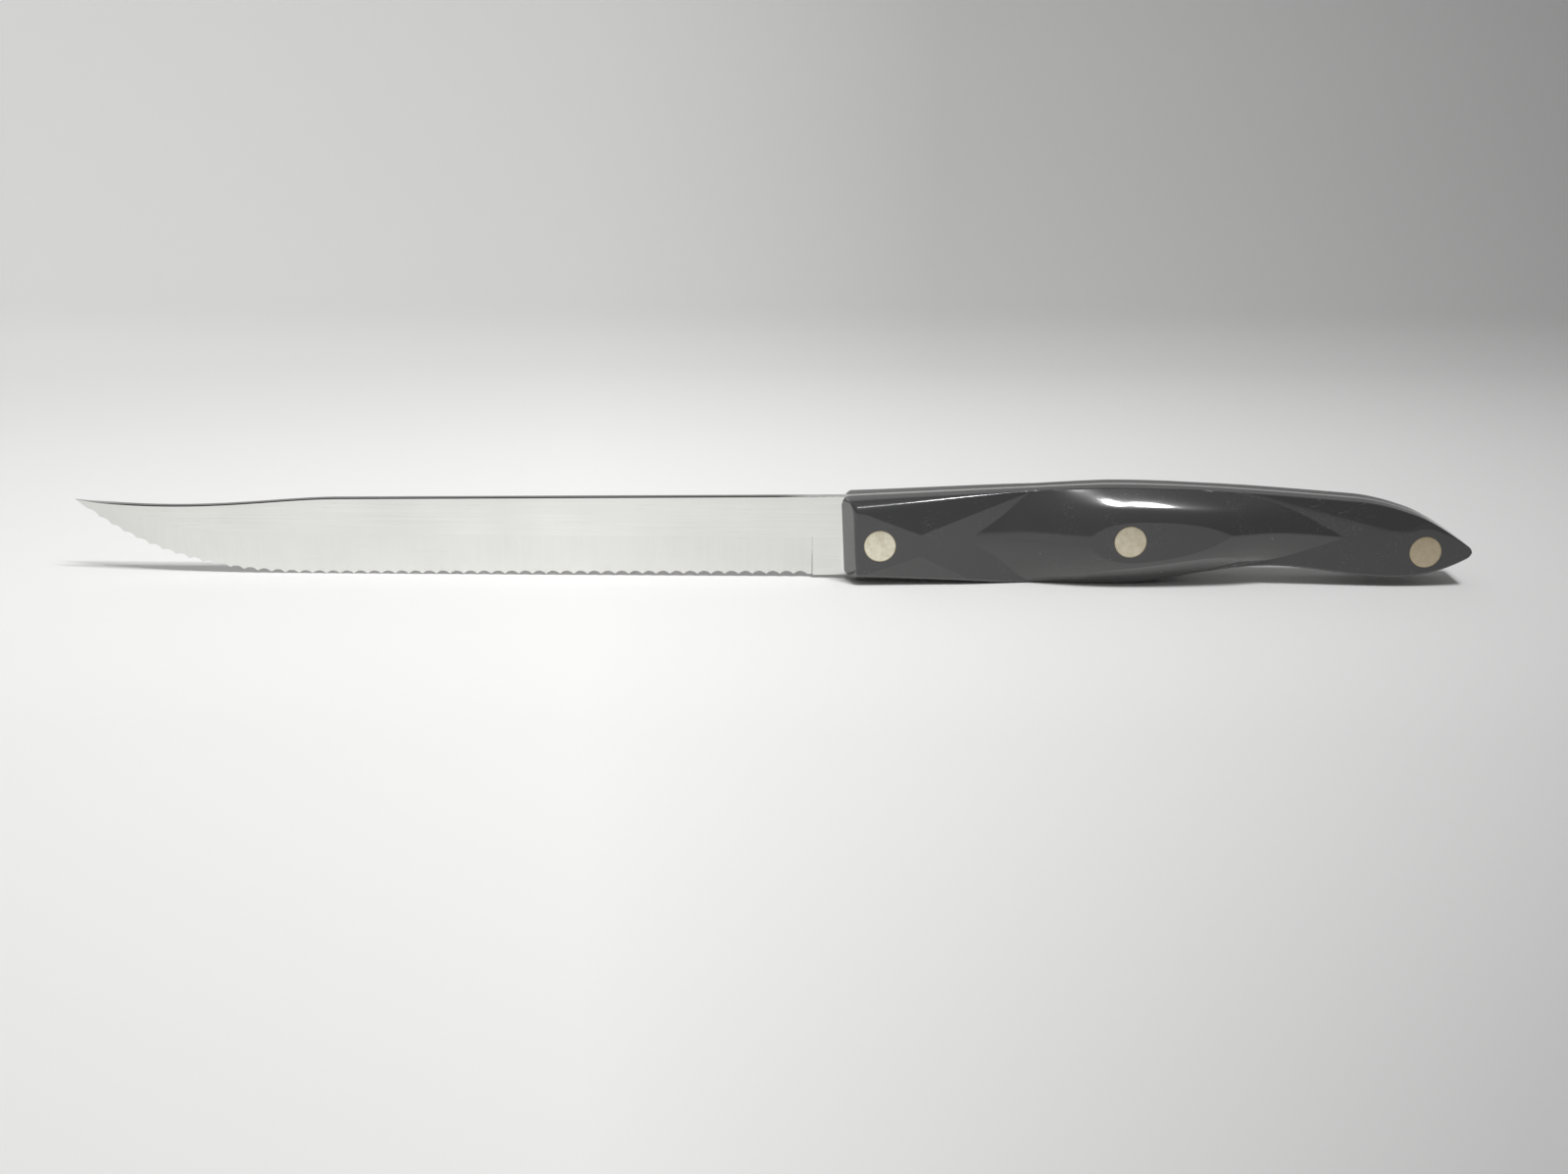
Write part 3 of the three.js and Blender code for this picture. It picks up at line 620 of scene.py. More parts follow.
def scallop_rows():
    """Arc length from the heel towards the tip, the matching places and the number of scallops."""
    d = np.linspace(PLUNGE_AT - SCALLOP_HEEL_MARGIN, 0, ARC_POINTS)
    z = edge_height(d)
    length = np.concatenate([[0], np.cumsum(np.hypot(np.diff(d), np.diff(z)))])
    count = int((length[-1] - SCALLOP_TIP_MARGIN) / SCALLOP_PITCH)
    return length, d, count


def wheel_cut(d, z, length, places, count):
    """Right half thickness that the leaning grinding wheels leave."""
    half_chord = (SCALLOP_PITCH - SCALLOP_LAND) / 2
    here = np.interp(-d, -places, length)
    nearest = np.floor(here / SCALLOP_PITCH)
    left = np.full_like(z, NO_CUT)
    for shift in (-1, 0, 1):
        index = np.clip(nearest + shift, 0, count - 1)
        x0 = np.interp((index + 0.5) * SCALLOP_PITCH, length, places)
        tipward = np.clip(1 - x0 / SWEEP_LENGTH, 0, 1)
        depth = SCALLOP_DEPTH - (SCALLOP_DEPTH - SCALLOP_TIP_DEPTH) * tipward
        wheel = (half_chord**2 + depth**2) / (2 * depth * math.sin(SCALLOP_LEAN))

        # t runs along the edge, a along the wheel's axle, and b from the axle to the top of the scallop
        slope = sweep_slope(x0)
        size = np.hypot(1, slope)
        tx, tz = -1 / size, -slope / size
        ax, ay, az = tz * math.cos(SCALLOP_LEAN), math.sin(SCALLOP_LEAN), -tx * math.cos(SCALLOP_LEAN)
        bx, by, bz = ay * tz, az * tx - ax * tz, -ay * tx
        cx = x0 + tz * depth - bx * wheel
        cy = -EDGE_HALF - by * wheel
        cz = edge_height(x0) - tx * depth - bz * wheel

        # A line across the blade meets the wheel where a quadratic equation is zero
        qx, qz = d - cx, z - cz
        on_axle = ax * qx + az * qz
        square = 1 - ay * ay
        linear = -ay * on_axle
        constant = qx * qx + qz * qz - on_axle * on_axle - wheel * wheel
        room = linear * linear - square * constant
        cut = cy + (-linear - np.sqrt(np.maximum(room, 0))) / square
        left = np.minimum(left, np.where(room > 0, cut, NO_CUT))
    return left


def blade_rows(length, places, count, plunge_round):
    """Places along the blade: close together at the scallops, the plunge line and the beak."""
    arc = np.arange(count * SCALLOP_ROWS + 1) * SCALLOP_PITCH / SCALLOP_ROWS
    scallops = np.interp(arc, length, places)
    tip = scallops[-1] * np.linspace(1, 0, TIP_ROWS)[1:] ** TIP_ROWS_POWER
    plunge = np.linspace(PLUNGE_AT - plunge_round, PLUNGE_AT, PLUNGE_ROWS)
    heel = np.linspace(scallops[0], plunge[0], HEEL_ROWS)[1:-1]
    ricasso = np.linspace(PLUNGE_AT, BLADE_LENGTH, RICASSO_ROWS)[1:]
    tang = BLADE_LENGTH + np.linspace(0, BEAK_CENTRE, TANG_ROWS)[1:]
    quarter = np.linspace(0, math.pi / 2, TANG_BEAK_ROWS)[1:]
    beak = BLADE_LENGTH + BEAK_CENTRE + (BEAK_RADIUS - TANG_BEAK_INSET) * np.sin(quarter)
    return np.concatenate([tip[::-1], scallops[::-1], heel, plunge, ricasso, tang, beak])


def blade_masks(d, plunge_round, over_spine):
    """Which points of each row are on the ground band, and how much painted shade darkens the steel at each of
    them.
    """
    left = np.concatenate([np.ones(BAND_COLUMNS), np.zeros(FLAT_COLUMNS)])
    right = np.concatenate([np.zeros(FLAT_COLUMNS), np.ones(BAND_COLUMNS + FLAT_COLUMNS - 1)])
    ground = np.concatenate([left, np.zeros(over_spine), right])[None, :] * (d < PLUNGE_AT)
    spine = np.concatenate([np.zeros(left.size), np.ones(over_spine), np.zeros(right.size)])[None, :]
    # Painted shade: the spine, the plunge line, the heel and the tip are darkened.
    shaded = spine * ramp(d / SPINE_DARK_START) * (1 - ramp((d - SPINE_DARK_END) / SPINE_FADE))
    shaded = shaded + PLUNGE_SHADE * ground * (d > PLUNGE_AT - plunge_round)
    heelward = ramp((d - HEEL_SHADE_START) / (BLADE_LENGTH - HEEL_SHADE_START)) * (d < BLADE_LENGTH)
    tipward = ramp(1 - d / TIP_SHADE_END)
    return ground, np.maximum(shaded, HEEL_SHADE * heelward + TIP_SHADE * tipward)


def blade_grid(look):
    """Points of the blade's skin, one closed row for each place, with their ground shares and painted shade
    shares.
    """
    plunge_round = look.plunge_round / MM
    length, places, count = scallop_rows()
    d = blade_rows(length, places, count, plunge_round)[:, None]
    low = edge_height(d)
    high = spine_height(d)
    thick = ground_half(d, high, plunge_round)
    spine_room = SPINE_ROUND_SHARE * np.minimum(thick, high - low)
    spine_round = np.minimum(look.spine_round / MM, spine_room)
    scalloped = (d <= places[0]) & (d >= np.interp(count * SCALLOP_PITCH, length, places))

    def right_half(z):
        cut = np.where(scalloped, wheel_cut(d, z, length, places, count), NO_CUT)
        return np.minimum(ground_half(d, z, plunge_round), cut)

    floor = low
    ceiling = np.minimum(low + 2 * SCALLOP_DEPTH, high)
    for _ in range(EDGE_HALVINGS):
        z = (floor + ceiling) / 2
        solid = right_half(z) + ground_half(d, z, plunge_round) > EDGE_THICKNESS
        ceiling = np.where(solid, z, ceiling)
        floor = np.where(solid, floor, z)
    edge = np.where(scalloped, ceiling, low)
    shoulder = high - spine_round
    band = np.clip(grind_top(d), edge, shoulder)
    hollow = np.minimum(edge + SCALLOP_HOLLOW_HEIGHT, band)
    lift = np.minimum(band + BAND_STEP, shoulder)
    u = np.linspace(0, 1, BAND_COLUMNS)[None, :]
    v = np.linspace(0, 1, FLAT_COLUMNS)[None, :]
    flat_z = lift + (shoulder - lift) * v
    left_z = np.concatenate([edge + (band - edge) * u, flat_z], 1)
    right_z = np.concatenate([edge + (hollow - edge) * u, hollow + (band - hollow) * v[:, 1:], flat_z], 1)
    bend = np.linspace(0, math.pi / 2, SPINE_COLUMNS)[None, 1:-1]
    left_y = -ground_half(d, left_z, plunge_round)
    right_y = right_half(right_z)
    over_left = (-thick + spine_round * (1 - np.cos(bend)), shoulder + spine_round * np.sin(bend))
    over_right = (thick - spine_round * (1 - np.sin(bend)), shoulder + spine_round * np.cos(bend))
    y = np.concatenate([left_y, over_left[0], over_right[0], right_y[:, ::-1]], 1)
    z = np.concatenate([left_z, over_left[1], over_right[1], right_z[:, ::-1]], 1)
    x = np.broadcast_to(TIP_X + d, y.shape)
    return np.stack([x, y, z], -1), *blade_masks(d, plunge_round, 2 * bend.size)


# Shader nodes

def add_node(tree, kind, inputs=None, **settings):
    made = tree.nodes.new(kind)
    for key, value in settings.items():
        setattr(made, key, value)
    for key, value in (inputs or {}).items():
        if isinstance(value, bpy.types.NodeSocket):
            tree.links.new(value, made.inputs[key])
        else:
            made.inputs[key].default_value = value
    return made


def new_group(name, inputs, outputs):
    group = bpy.data.node_groups.new(name, "ShaderNodeTree")
    for label, kind, default in inputs:
        socket = group.interface.new_socket(label, in_out="INPUT", socket_type=kind)
        socket.default_value = default
    for label, kind in outputs:
        group.interface.new_socket(label, in_out="OUTPUT", socket_type=kind)
    return group, group.nodes.new("NodeGroupInput"), group.nodes.new("NodeGroupOutput")


def math_node(tree, operation, first, second):
    return add_node(tree, "ShaderNodeMath", {0: first, 1: second}, operation=operation).outputs[0]


def spread(tree, value, low, high, start=0.3, end=0.7):
    """Goes from low to high while the value goes from start to end."""
    made = add_node(
        tree,
        "ShaderNodeMapRange",
        {"Value": value, "From Min": start, "From Max": end, "To Min": low, "To Max": high},
    )
    return made.outputs[0]


def scratches_group():
    """Thin scratches that run along the stretched direction, broken into short strokes."""
    group, given, made = new_group(
        "fine_scratches",
        [
            ("Stretch", "NodeSocketVector", (1.0, 1.0, 1.0)),
            ("Turn", "NodeSocketVector", (0.0, 0.0, 0.0)),
            ("Amount", "NodeSocketFloat", 0.5),
        ],
        [("Mask", "NodeSocketFloat")],
    )
    place = add_node(group, "ShaderNodeTexCoord").outputs["Object"]
    turned = add_node(
        group,
        "ShaderNodeVectorRotate",
        {"Vector": place, "Rotation": given.outputs["Turn"]},
        rotation_type="EULER_XYZ",
    )
    stretched = add_node(
        group,
        "ShaderNodeVectorMath",
        {0: turned.outputs[0], 1: given.outputs["Stretch"]},
        operation="MULTIPLY",
    )
    strokes = add_node(
        group,
        "ShaderNodeTexNoise",
        {"Vector": stretched.outputs[0], "Scale": 1.0, "Detail": 1.0},
    )
    patches = add_node(group, "ShaderNodeTexNoise", {"Vector": place, "Scale": 130.0, "Detail": 1.0})
    line = spread(group, strokes.outputs["Fac"], 0.0, 1.0, start=0.68, end=0.74)
    patch = spread(group, patches.outputs["Fac"], 0.0, 1.0, start=0.5, end=0.62)
    both = math_node(group, "MULTIPLY", line, patch)
    group.links.new(math_node(group, "MULTIPLY", both, given.outputs["Amount"]), made.inputs["Mask"])
    return group


def specks_group():
    """Small dots of dust."""
    group, given, made = new_group(
        "dust_specks",
        [("Density", "NodeSocketFloat", 400.0), ("Amount", "NodeSocketFloat", 0.5)],
        [("Mask", "NodeSocketFloat")],
    )
    place = add_node(group, "ShaderNodeTexCoord").outputs["Object"]
    cells = add_node(group, "ShaderNodeTexVoronoi", {"Vector": place, "Scale": given.outputs["Density"]})
    dot = spread(group, cells.outputs["Distance"], 0.0, 1.0, start=0.1, end=0.04)
    pick = spread(group, cells.outputs["Color"], 0.0, 1.0, start=0.72, end=0.74)
    both = math_node(group, "MULTIPLY", dot, pick)
    group.links.new(math_node(group, "MULTIPLY", both, given.outputs["Amount"]), made.inputs["Mask"])
    return group


def grain_group():
    """Fine parallel polishing lines, as a value round one half."""
    group, given, made = new_group(
        "polishing_grain",
        [("Stretch", "NodeSocketVector", (1.0, 1.0, 1.0))],
        [("Value", "NodeSocketFloat")],
    )
    place = add_node(group, "ShaderNodeTexCoord").outputs["Object"]
    stretched = add_node(
        group,
        "ShaderNodeVectorMath",
        {0: place, 1: given.outputs["Stretch"]},
        operation="MULTIPLY",
    )
    lines = add_node(
        group,
        "ShaderNodeTexNoise",
        {"Vector": stretched.outputs[0], "Scale": 1.0, "Detail": 4.0, "Roughness": 0.65},
    )
    group.links.new(lines.outputs["Fac"], made.inputs["Value"])
    return group


def place_group(tree, name, inputs):
    made = tree.nodes.new("ShaderNodeGroup")
    made.node_tree = bpy.data.node_groups[name]
    for key, value in inputs.items():
        made.inputs[key].default_value = value
    return made


def new_material(name):
    material = bpy.data.materials.new(name)
    material.use_nodes = True
    tree = material.node_tree
    return material, tree, tree.nodes["Principled BSDF"]


def mix_color(tree, share, first, second, blend="MIX"):
    inputs = {MIX_SHARE: share, MIX_FIRST: first, MIX_SECOND: second}
    made = add_node(tree, "ShaderNodeMix", inputs, data_type="RGBA", blend_type=blend)
    return made.outputs[MIX_RESULT]


def plastic_material(look):
    material, tree, shader = new_material("black_gloss_plastic")
    along = place_group(
        tree,
        "fine_scratches",
        {"Stretch": (260.0, 9000.0, 9000.0), "Turn": (0.3, 0.2, 0.0), "Amount": look.scratches},
    )
    across = place_group(
        tree,
        "fine_scratches",
        {"Stretch": (8000.0, 8000.0, 500.0), "Turn": (0.0, 0.5, 0.2), "Amount": look.scratches},
    )
    dust = place_group(tree, "dust_specks", {"Density": 330.0, "Amount": look.dust})
    scratch = math_node(tree, "MAXIMUM", along.outputs[0], across.outputs[0])
    marks = math_node(tree, "MAXIMUM", scratch, dust.outputs[0])
    worn = (*look.worn_color, 1.0)
    surface = add_node(tree, "ShaderNodeNewGeometry")
    upward = add_node(tree, "ShaderNodeSeparateXYZ", {0: surface.outputs["Normal"]}).outputs["Z"]
    place = add_node(tree, "ShaderNodeSeparateXYZ", {0: surface.outputs["Position"]})
    # Painted shade: the plastic is painted darker towards the beak, standing in for the darker floor on the
    # right that the rear of the handle reflects.
    rearward = spread(tree, place.outputs["X"], 0.0, 1.0, HANDLE_X * MM, (HANDLE_X + SHOULDER[0]) * MM)
    body = mix_color(tree, rearward, (*look.color, 1.0), (*look.rear_shade_color, 1.0))
    # Painted light: faces that look down are painted lighter, standing in for the bright floor they reflect.
    low = spread(tree, upward, 1.0, 0.0, *UNDERCUT_SLOPES)
    plain = mix_color(tree, low, body, (*look.low_color, 1.0))
    tree.links.new(mix_color(tree, marks, plain, worn), shader.inputs["Base Color"])
    coat = spread(tree, upward, look.coat, look.top_coat, *TOP_SLOPES)
    tree.links.new(coat, shader.inputs["Coat Weight"])
    haze = add_node(tree, "ShaderNodeTexNoise", {"Scale": 90.0, "Detail": 3.0})
    tree.links.new(add_node(tree, "ShaderNodeTexCoord").outputs["Object"], haze.inputs["Vector"])
    gloss = spread(tree, haze.outputs["Fac"], *(share * look.roughness for share in GLOSS_VARIATION))
    rough = math_node(tree, "ADD", gloss, math_node(tree, "MULTIPLY", marks, MARK_ROUGHNESS))
    tree.links.new(rough, shader.inputs["Roughness"])
    bump = add_node(tree, "ShaderNodeBump", {"Height": scratch, "Strength": 0.12, "Distance": 0.00002})
    bump.invert = True
    tree.links.new(bump.outputs[0], shader.inputs["Normal"])
    shader.inputs["IOR"].default_value = PLASTIC_IOR
    shader.inputs["Specular IOR Level"].default_value = look.haze
    shader.inputs["Coat IOR"].default_value = GLOSS_IOR
    shader.inputs["Coat Roughness"].default_value = look.coat_roughness
    return material


def steel_material(look):
    material, tree, shader = new_material("bright_steel")
    grain = place_group(tree, "polishing_grain", {"Stretch": (35.0, 900.0, 2600.0)})
    wheel = place_group(tree, "polishing_grain", {"Stretch": (1500.0, 500.0, 60.0)})
    scratch = place_group(
        tree,
        "fine_scratches",
        {"Stretch": (160.0, 3000.0, 7000.0), "Turn": (0.0, 0.06, 0.0), "Amount": STEEL_SCRATCHES},
    )
    ground = add_node(tree, "ShaderNodeAttribute", attribute_name="ground_band").outputs["Fac"]
    grains = {"Factor": ground, "A": grain.outputs[0], "B": wheel.outputs[0]}
    lines = add_node(tree, "ShaderNodeMix", grains).outputs[0]
    cloud = add_node(tree, "ShaderNodeTexNoise", {"Scale": 55.0, "Detail": 3.0})
    tree.links.new(add_node(tree, "ShaderNodeTexCoord").outputs["Object"], cloud.inputs["Vector"])
    half_lines = math_node(tree, "MULTIPLY", lines, 0.5)
    half_cloud = math_node(tree, "MULTIPLY", cloud.outputs["Fac"], 0.5)
    tone = math_node(tree, "ADD", half_lines, half_cloud)
    darker, bright = (tuple(min(shade * c, 1.0) for c in look.color) for shade in STEEL_SHADES)
    tinted = mix_color(tree, spread(tree, tone, 0.0, 1.0), (*darker, 1.0), (*bright, 1.0))
    band = math_node(tree, "MULTIPLY", ground, BAND_TINT)
    hollowed = mix_color(tree, band, tinted, (*look.band_color, 1.0))
    marked = mix_color(tree, scratch.outputs[0], hollowed, STEEL_SCRATCH)
    # Painted shade: the steel is darkened along the spine, at the plunge line and towards the heel and the tip.
    shaded = add_node(tree, "ShaderNodeAttribute", attribute_name="painted_steel_shade").outputs["Fac"]
    tree.links.new(mix_color(tree, shaded, marked, (*look.spine_shade_color, 1.0)), shader.inputs["Base Color"])
    flat = spread(tree, tone, *(share * look.roughness for share in METAL_VARIATION))
    rough = math_node(tree, "ADD", flat, math_node(tree, "MULTIPLY", ground, BAND_ROUGHNESS))
    tree.links.new(rough, shader.inputs["Roughness"])
    bump = add_node(tree, "ShaderNodeBump", {"Height": lines, "Strength": look.grain, "Distance": 0.00001})
    tree.links.new(bump.outputs[0], shader.inputs["Normal"])
    shader.inputs["Metallic"].default_value = 1.0
    return material


def rivet_material(look):
    material, tree, shader = new_material("nickel_silver")
    first, second = (
        place_group(
            tree,
            "fine_scratches",
            {"Stretch": (900.0, 5000.0, 9000.0), "Turn": (0.0, turn, 0.0), "Amount": RIVET_SCRATCHES},
        )
        for turn in (0.7, -0.5)
    )
    scratch = math_node(tree, "MAXIMUM", first.outputs[0], second.outputs[0])
    place = add_node(tree, "ShaderNodeTexCoord").outputs["Object"]
    blotch = add_node(
        tree,
        "ShaderNodeTexNoise",
        {"Vector": place, "Scale": 700.0, "Detail": 4.0, "Roughness": 0.6},
    )
    position = add_node(tree, "ShaderNodeNewGeometry").outputs["Position"]
    along = add_node(tree, "ShaderNodeSeparateXYZ", {0: position}).outputs["X"]
    first_x, last_x = ((HANDLE_X + RIVETS[end][0]) * MM for end in ("front", "rear"))
    worn = spread(tree, along, 0.0, 1.0, first_x, last_x)
    bright = mix_color(tree, worn, (*look.color, 1.0), (*look.worn_color, 1.0))
    spots = spread(tree, blotch.outputs["Fac"], 1.0, 0.0, *TARNISH_SPREAD)
    stain = math_node(tree, "MULTIPLY", spots, TARNISH)
    mottled = mix_color(tree, stain, bright, (*look.rim_color, 1.0))
    flat = add_node(tree, "ShaderNodeVectorMath", {0: place, 1: (1.0, 0.0, 1.0)}, operation="MULTIPLY")
    radius = add_node(tree, "ShaderNodeVectorMath", {0: flat.outputs[0]}, operation="LENGTH").outputs["Value"]
    rim = spread(tree, radius, 0.0, 1.0, *((HEAD_RADIUS - inset) * MM for inset in TARNISHED_RIM))
    edged = mix_color(tree, rim, mottled, (*look.rim_color, 1.0))
    marked = mix_color(tree, scratch, edged, RIVET_SCRATCH)
    tree.links.new(marked, shader.inputs["Base Color"])
    gloss = spread(tree, blotch.outputs["Fac"], *(share * look.roughness for share in METAL_VARIATION))
    tree.links.new(gloss, shader.inputs["Roughness"])
    bump = add_node(
        tree,
        "ShaderNodeBump",
        {"Height": blotch.outputs["Fac"], "Strength": 0.06, "Distance": 0.00003},
    )
    tree.links.new(bump.outputs[0], shader.inputs["Normal"])
    shader.inputs["Metallic"].default_value = 1.0
    return material


def stage_material(look):
    """Pale paper with painted light and shade: lightest round the knife, darker to the right and behind, with a
    painted glow behind on the left.
    """
    material, tree, shader = new_material("studio_paper")
    place = add_node(tree, "ShaderNodeTexCoord").outputs["Object"]
    parts = add_node(tree, "ShaderNodeSeparateXYZ", {0: place})
    # Painted shade: the paper is lightest round the knife and darkens in front, behind and up the wall.
    depth = spread(tree, parts.outputs["Y"], 0.0, 1.0, TONES_FROM, TONES_TO)
    level = add_node(tree, "ShaderNodeValToRGB", {"Fac": depth})
    level.color_ramp.interpolation = "B_SPLINE"
    tones = [*PAPER_PAINTED_FALLOFF, (PAPER_WALL_AT, look.painted_wall_shade)]
    while len(level.color_ramp.elements) < len(tones):
        level.color_ramp.elements.new(0.5)
    for stop, (y, tone) in zip(level.color_ramp.elements, tones):
        stop.position = (y - TONES_FROM) / (TONES_TO - TONES_FROM)
        stop.color = (tone, tone, tone, 1.0)
    # Painted shade: the paper is darker to the right.
    distance = math_node(tree, "ADD", parts.outputs["Y"], FAN_FROM)
    distance = math_node(tree, "MAXIMUM", distance, FAN_NEAREST)
    column = math_node(tree, "DIVIDE", parts.outputs["X"], distance)
    side = spread(tree, column, 0.0, 1.0, *SHADE_FAN)
    shade = mix_color(tree, side, (*look.painted_lit_side, 1.0), (*look.painted_shade_side, 1.0))
    # Painted light: a glow on the paper behind on the left.
    glow = spread(tree, column, 1.0, 0.0, *GLOW_FAN)
    behind = spread(tree, parts.outputs["Y"], 0.0, 1.0, *GLOW_DEPTH)
    lit = math_node(tree, "MULTIPLY", glow, behind)
    toned = mix_color(tree, 1.0, level.outputs["Color"], shade, blend="MULTIPLY")
    lightened = mix_color(tree, lit, toned, (*look.glow_color, 1.0))
    tree.links.new(lightened, shader.inputs["Base Color"])
    fibre = add_node(tree, "ShaderNodeTexNoise", {"Vector": place, "Scale": 300.0, "Detail": 3.0})
    tree.links.new(spread(tree, fibre.outputs["Fac"], *PAPER_ROUGHNESS), shader.inputs["Roughness"])
    shader.inputs["Specular IOR Level"].default_value = PAPER_SHEEN
    return material


# Settings

def length_setting(name, description, default):
    return bpy.props.FloatProperty(
        name=name, description=description, default=default, min=0, unit="LENGTH", precision=5
    )


def share_setting(name, description, default):
    return bpy.props.FloatProperty(
        name=name, description=description, default=default, min=0, max=1, subtype="FACTOR"
    )


def power_setting(name, description, default):
    return bpy.props.FloatProperty(
        name=name, description=description, default=default, min=0, unit="POWER"
    )


def angle_setting(name, description, default):
    return bpy.props.FloatProperty(name=name, description=description, default=default, subtype="ANGLE")


def place_setting(name, description, default):
    return bpy.props.FloatVectorProperty(
        name=name,
        description=description,
        default=default,
        size=3,
        subtype="TRANSLATION",
        unit="LENGTH",
        precision=5,
    )


def color_setting(name, description, default):
    return bpy.props.FloatVectorProperty(
        name=name, description=description, default=default, min=0, max=1, size=3, subtype="COLOR"
    )


class KNIFE_PG_scales(bpy.types.PropertyGroup):
    grid: length_setting("Grid", "Distance between rows of the scales' skin", 0.00036)
    crease_round: length_setting("Crease rounding", "Softness of the creases between the faces", 0.00004)
    edge_round: length_setting("Edge rounding", "Rounding of the top edge behind the front", 0.00015)
    front_edge_round: length_setting("Front edge rounding", "Rounding of the top edge at the front", 0.0028)
    bottom_round: length_setting("Bottom rounding", "Rounding of the bottom edge", 0.0004)
    end_round: length_setting("End rounding", "Rounding round the front end", 0.0008)
    color: color_setting("Plastic", "Colour of the moulded plastic near the blade", (0.037, 0.037, 0.038))
    # Painted shade: the darker colour at the beak stands in for the darker floor that the rear of the handle
    # reflects.
    rear_shade_color: color_setting("Rear plastic", "Colour of the plastic at the beak", (0.027, 0.027, 0.028))
    # Painted light: a lighter colour for faces that look down, standing in for the bright floor they reflect.
    low_color: color_setting("Undercut", "Colour of the floor_lit faces that look down", (0.076, 0.076, 0.075))
    worn_color: color_setting("Marks", "Colour of scratches and dust", (0.2, 0.2, 0.2))
    roughness: share_setting("Haze roughness", "Roughness of the haze under the gloss", 0.2)
    haze: share_setting("Haze", "Strength of the haze under the gloss", 0.2)
    coat: share_setting("Gloss", "Strength of the gloss", 1.0)
    top_coat: share_setting("Top gloss", "Strength of the gloss on the worn top", 0.35)
    coat_roughness: share_setting("Gloss roughness", "Roughness of the gloss", 0.08)
    scratches: share_setting("Scratches", "Strength of the scratches", 0.35)
    dust: share_setting("Dust", "Strength of the dust specks", 0.5)


class KNIFE_PG_blade(bpy.types.PropertyGroup):
    spine_round: length_setting("Spine rounding", "Rounding of the two edges of the spine", 0.00025)
    plunge_round: length_setting("Plunge", "Length over which the ground band ends at the ricasso", 0.0005)
    color: color_setting("Steel", "Colour of the steel", (0.84, 0.84, 0.82))
    band_color: color_setting("Ground band", "Colour of the hollow-ground band", (0.76, 0.76, 0.735))
    # Painted shade: the dark colour along the top of the spine and the other darkened parts of the steel.
    spine_shade_color: color_setting("Spine", "Colour of the dull spine", (0.16, 0.16, 0.155))
    roughness: share_setting("Roughness", "Roughness of the polished flats", 0.16)
    grain: share_setting("Grain", "Strength of the polishing lines", 0.08)


class KNIFE_PG_rivets(bpy.types.PropertyGroup):
    rim_round: length_setting("Rim rounding", "Rounding of the rivet heads' rims", 0.00012)
    color: color_setting("Nickel silver", "Colour of the head nearest the blade", (0.84, 0.8, 0.65))
    worn_color: color_setting("Worn", "Colour of the head nearest the end of the handle", (0.55, 0.47, 0.34))
    rim_color: color_setting("Tarnish", "Colour of the tarnished spots and rims", (0.36, 0.29, 0.16))
    roughness: share_setting("Roughness", "Roughness of the rivet heads", 0.3)


class KNIFE_PG_stage(bpy.types.PropertyGroup):
    # Painted light and shade on the paper: lighter on the left, darker on the right and on the wall, with a
    # painted glow behind on the left.
    painted_lit_side: color_setting("Light side", "Tint of the paper on the left", (1.0, 1.0, 0.99))
    painted_shade_side: color_setting("Dark side", "Tint of the paper on the right", (0.55, 0.55, 0.55))
    glow_color: color_setting("Glow", "Tint of the paper behind on the left", (1.0, 1.0, 0.99))
    painted_wall_shade: share_setting("Wall", "Tone of the paper behind the knife", 0.65)
    lamp_power: power_setting("Lamps", "Power of each of the two front lamps", 1.5)
    lamp_width: length_setting("Lamp width", "Width of each front lamp", 0.075)
    lamp_height: length_setting("Lamp height", "Height of each front lamp", 0.12)
    lamp_spacing: length_setting("Lamp spacing", "Distance between the two front lamps", 0.1)
    lamp_place: place_setting("Lamp place", "Point midway between the two front lamps", (0.19, -0.37, 0.78))
    top_power: power_setting("Top lamp", "Power of the lamp above the knife", 3.0)
    top_size: length_setting("Top lamp size", "Diameter of the lamp above the knife", 0.1)
    top_place: place_setting("Top lamp place", "Middle of the lamp above the knife", (0.25, -0.25, 0.8))
    ambient: share_setting("Ambient", "Strength of the light from low in the room", 0.28)
    overhead: share_setting("Overhead", "Strength of the light from above", 0.38)
    lens: bpy.props.FloatProperty(
        name="Lens", description="Focal length", default=45.096, min=1, unit="CAMERA"
    )
    camera_place: place_setting("Camera", "Place of the camera", (0.002827, -0.425929, 0.123692))
    elevation: angle_setting("Elevation", "How far the camera looks down", math.radians(16.5))
    roll: angle_setting("Roll", "Tilt of the camera about its view", math.radians(0.4))


# Operators

class KNIFE_OT_finishes(bpy.types.Operator):
    """Builds the shader groups that the finishes share"""

    bl_idname = "knife.finishes"
    bl_label = "Shared finishes"

    def execute(self, context):
        scratches_group()
        specks_group()
        grain_group()
        return {"FINISHED"}


class KNIFE_OT_scales(bpy.types.Operator):
    """Builds the two sculpted handle scales"""

    bl_idname = "knife.scales"
    bl_label = "Handle scales"

    def execute(self, context):
        look = context.scene.knife_scales
        material = plastic_material(look)
        grid, outward = scale_grid(look)
        for name, hand in (("left_scale", -1), ("right_scale", 1)):
            made = scale_object(f"finished_{name}", grid, outward, hand)
            made.data.materials.append(material)
            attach(made, "root")
            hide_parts(name)
        return {"FINISHED"}


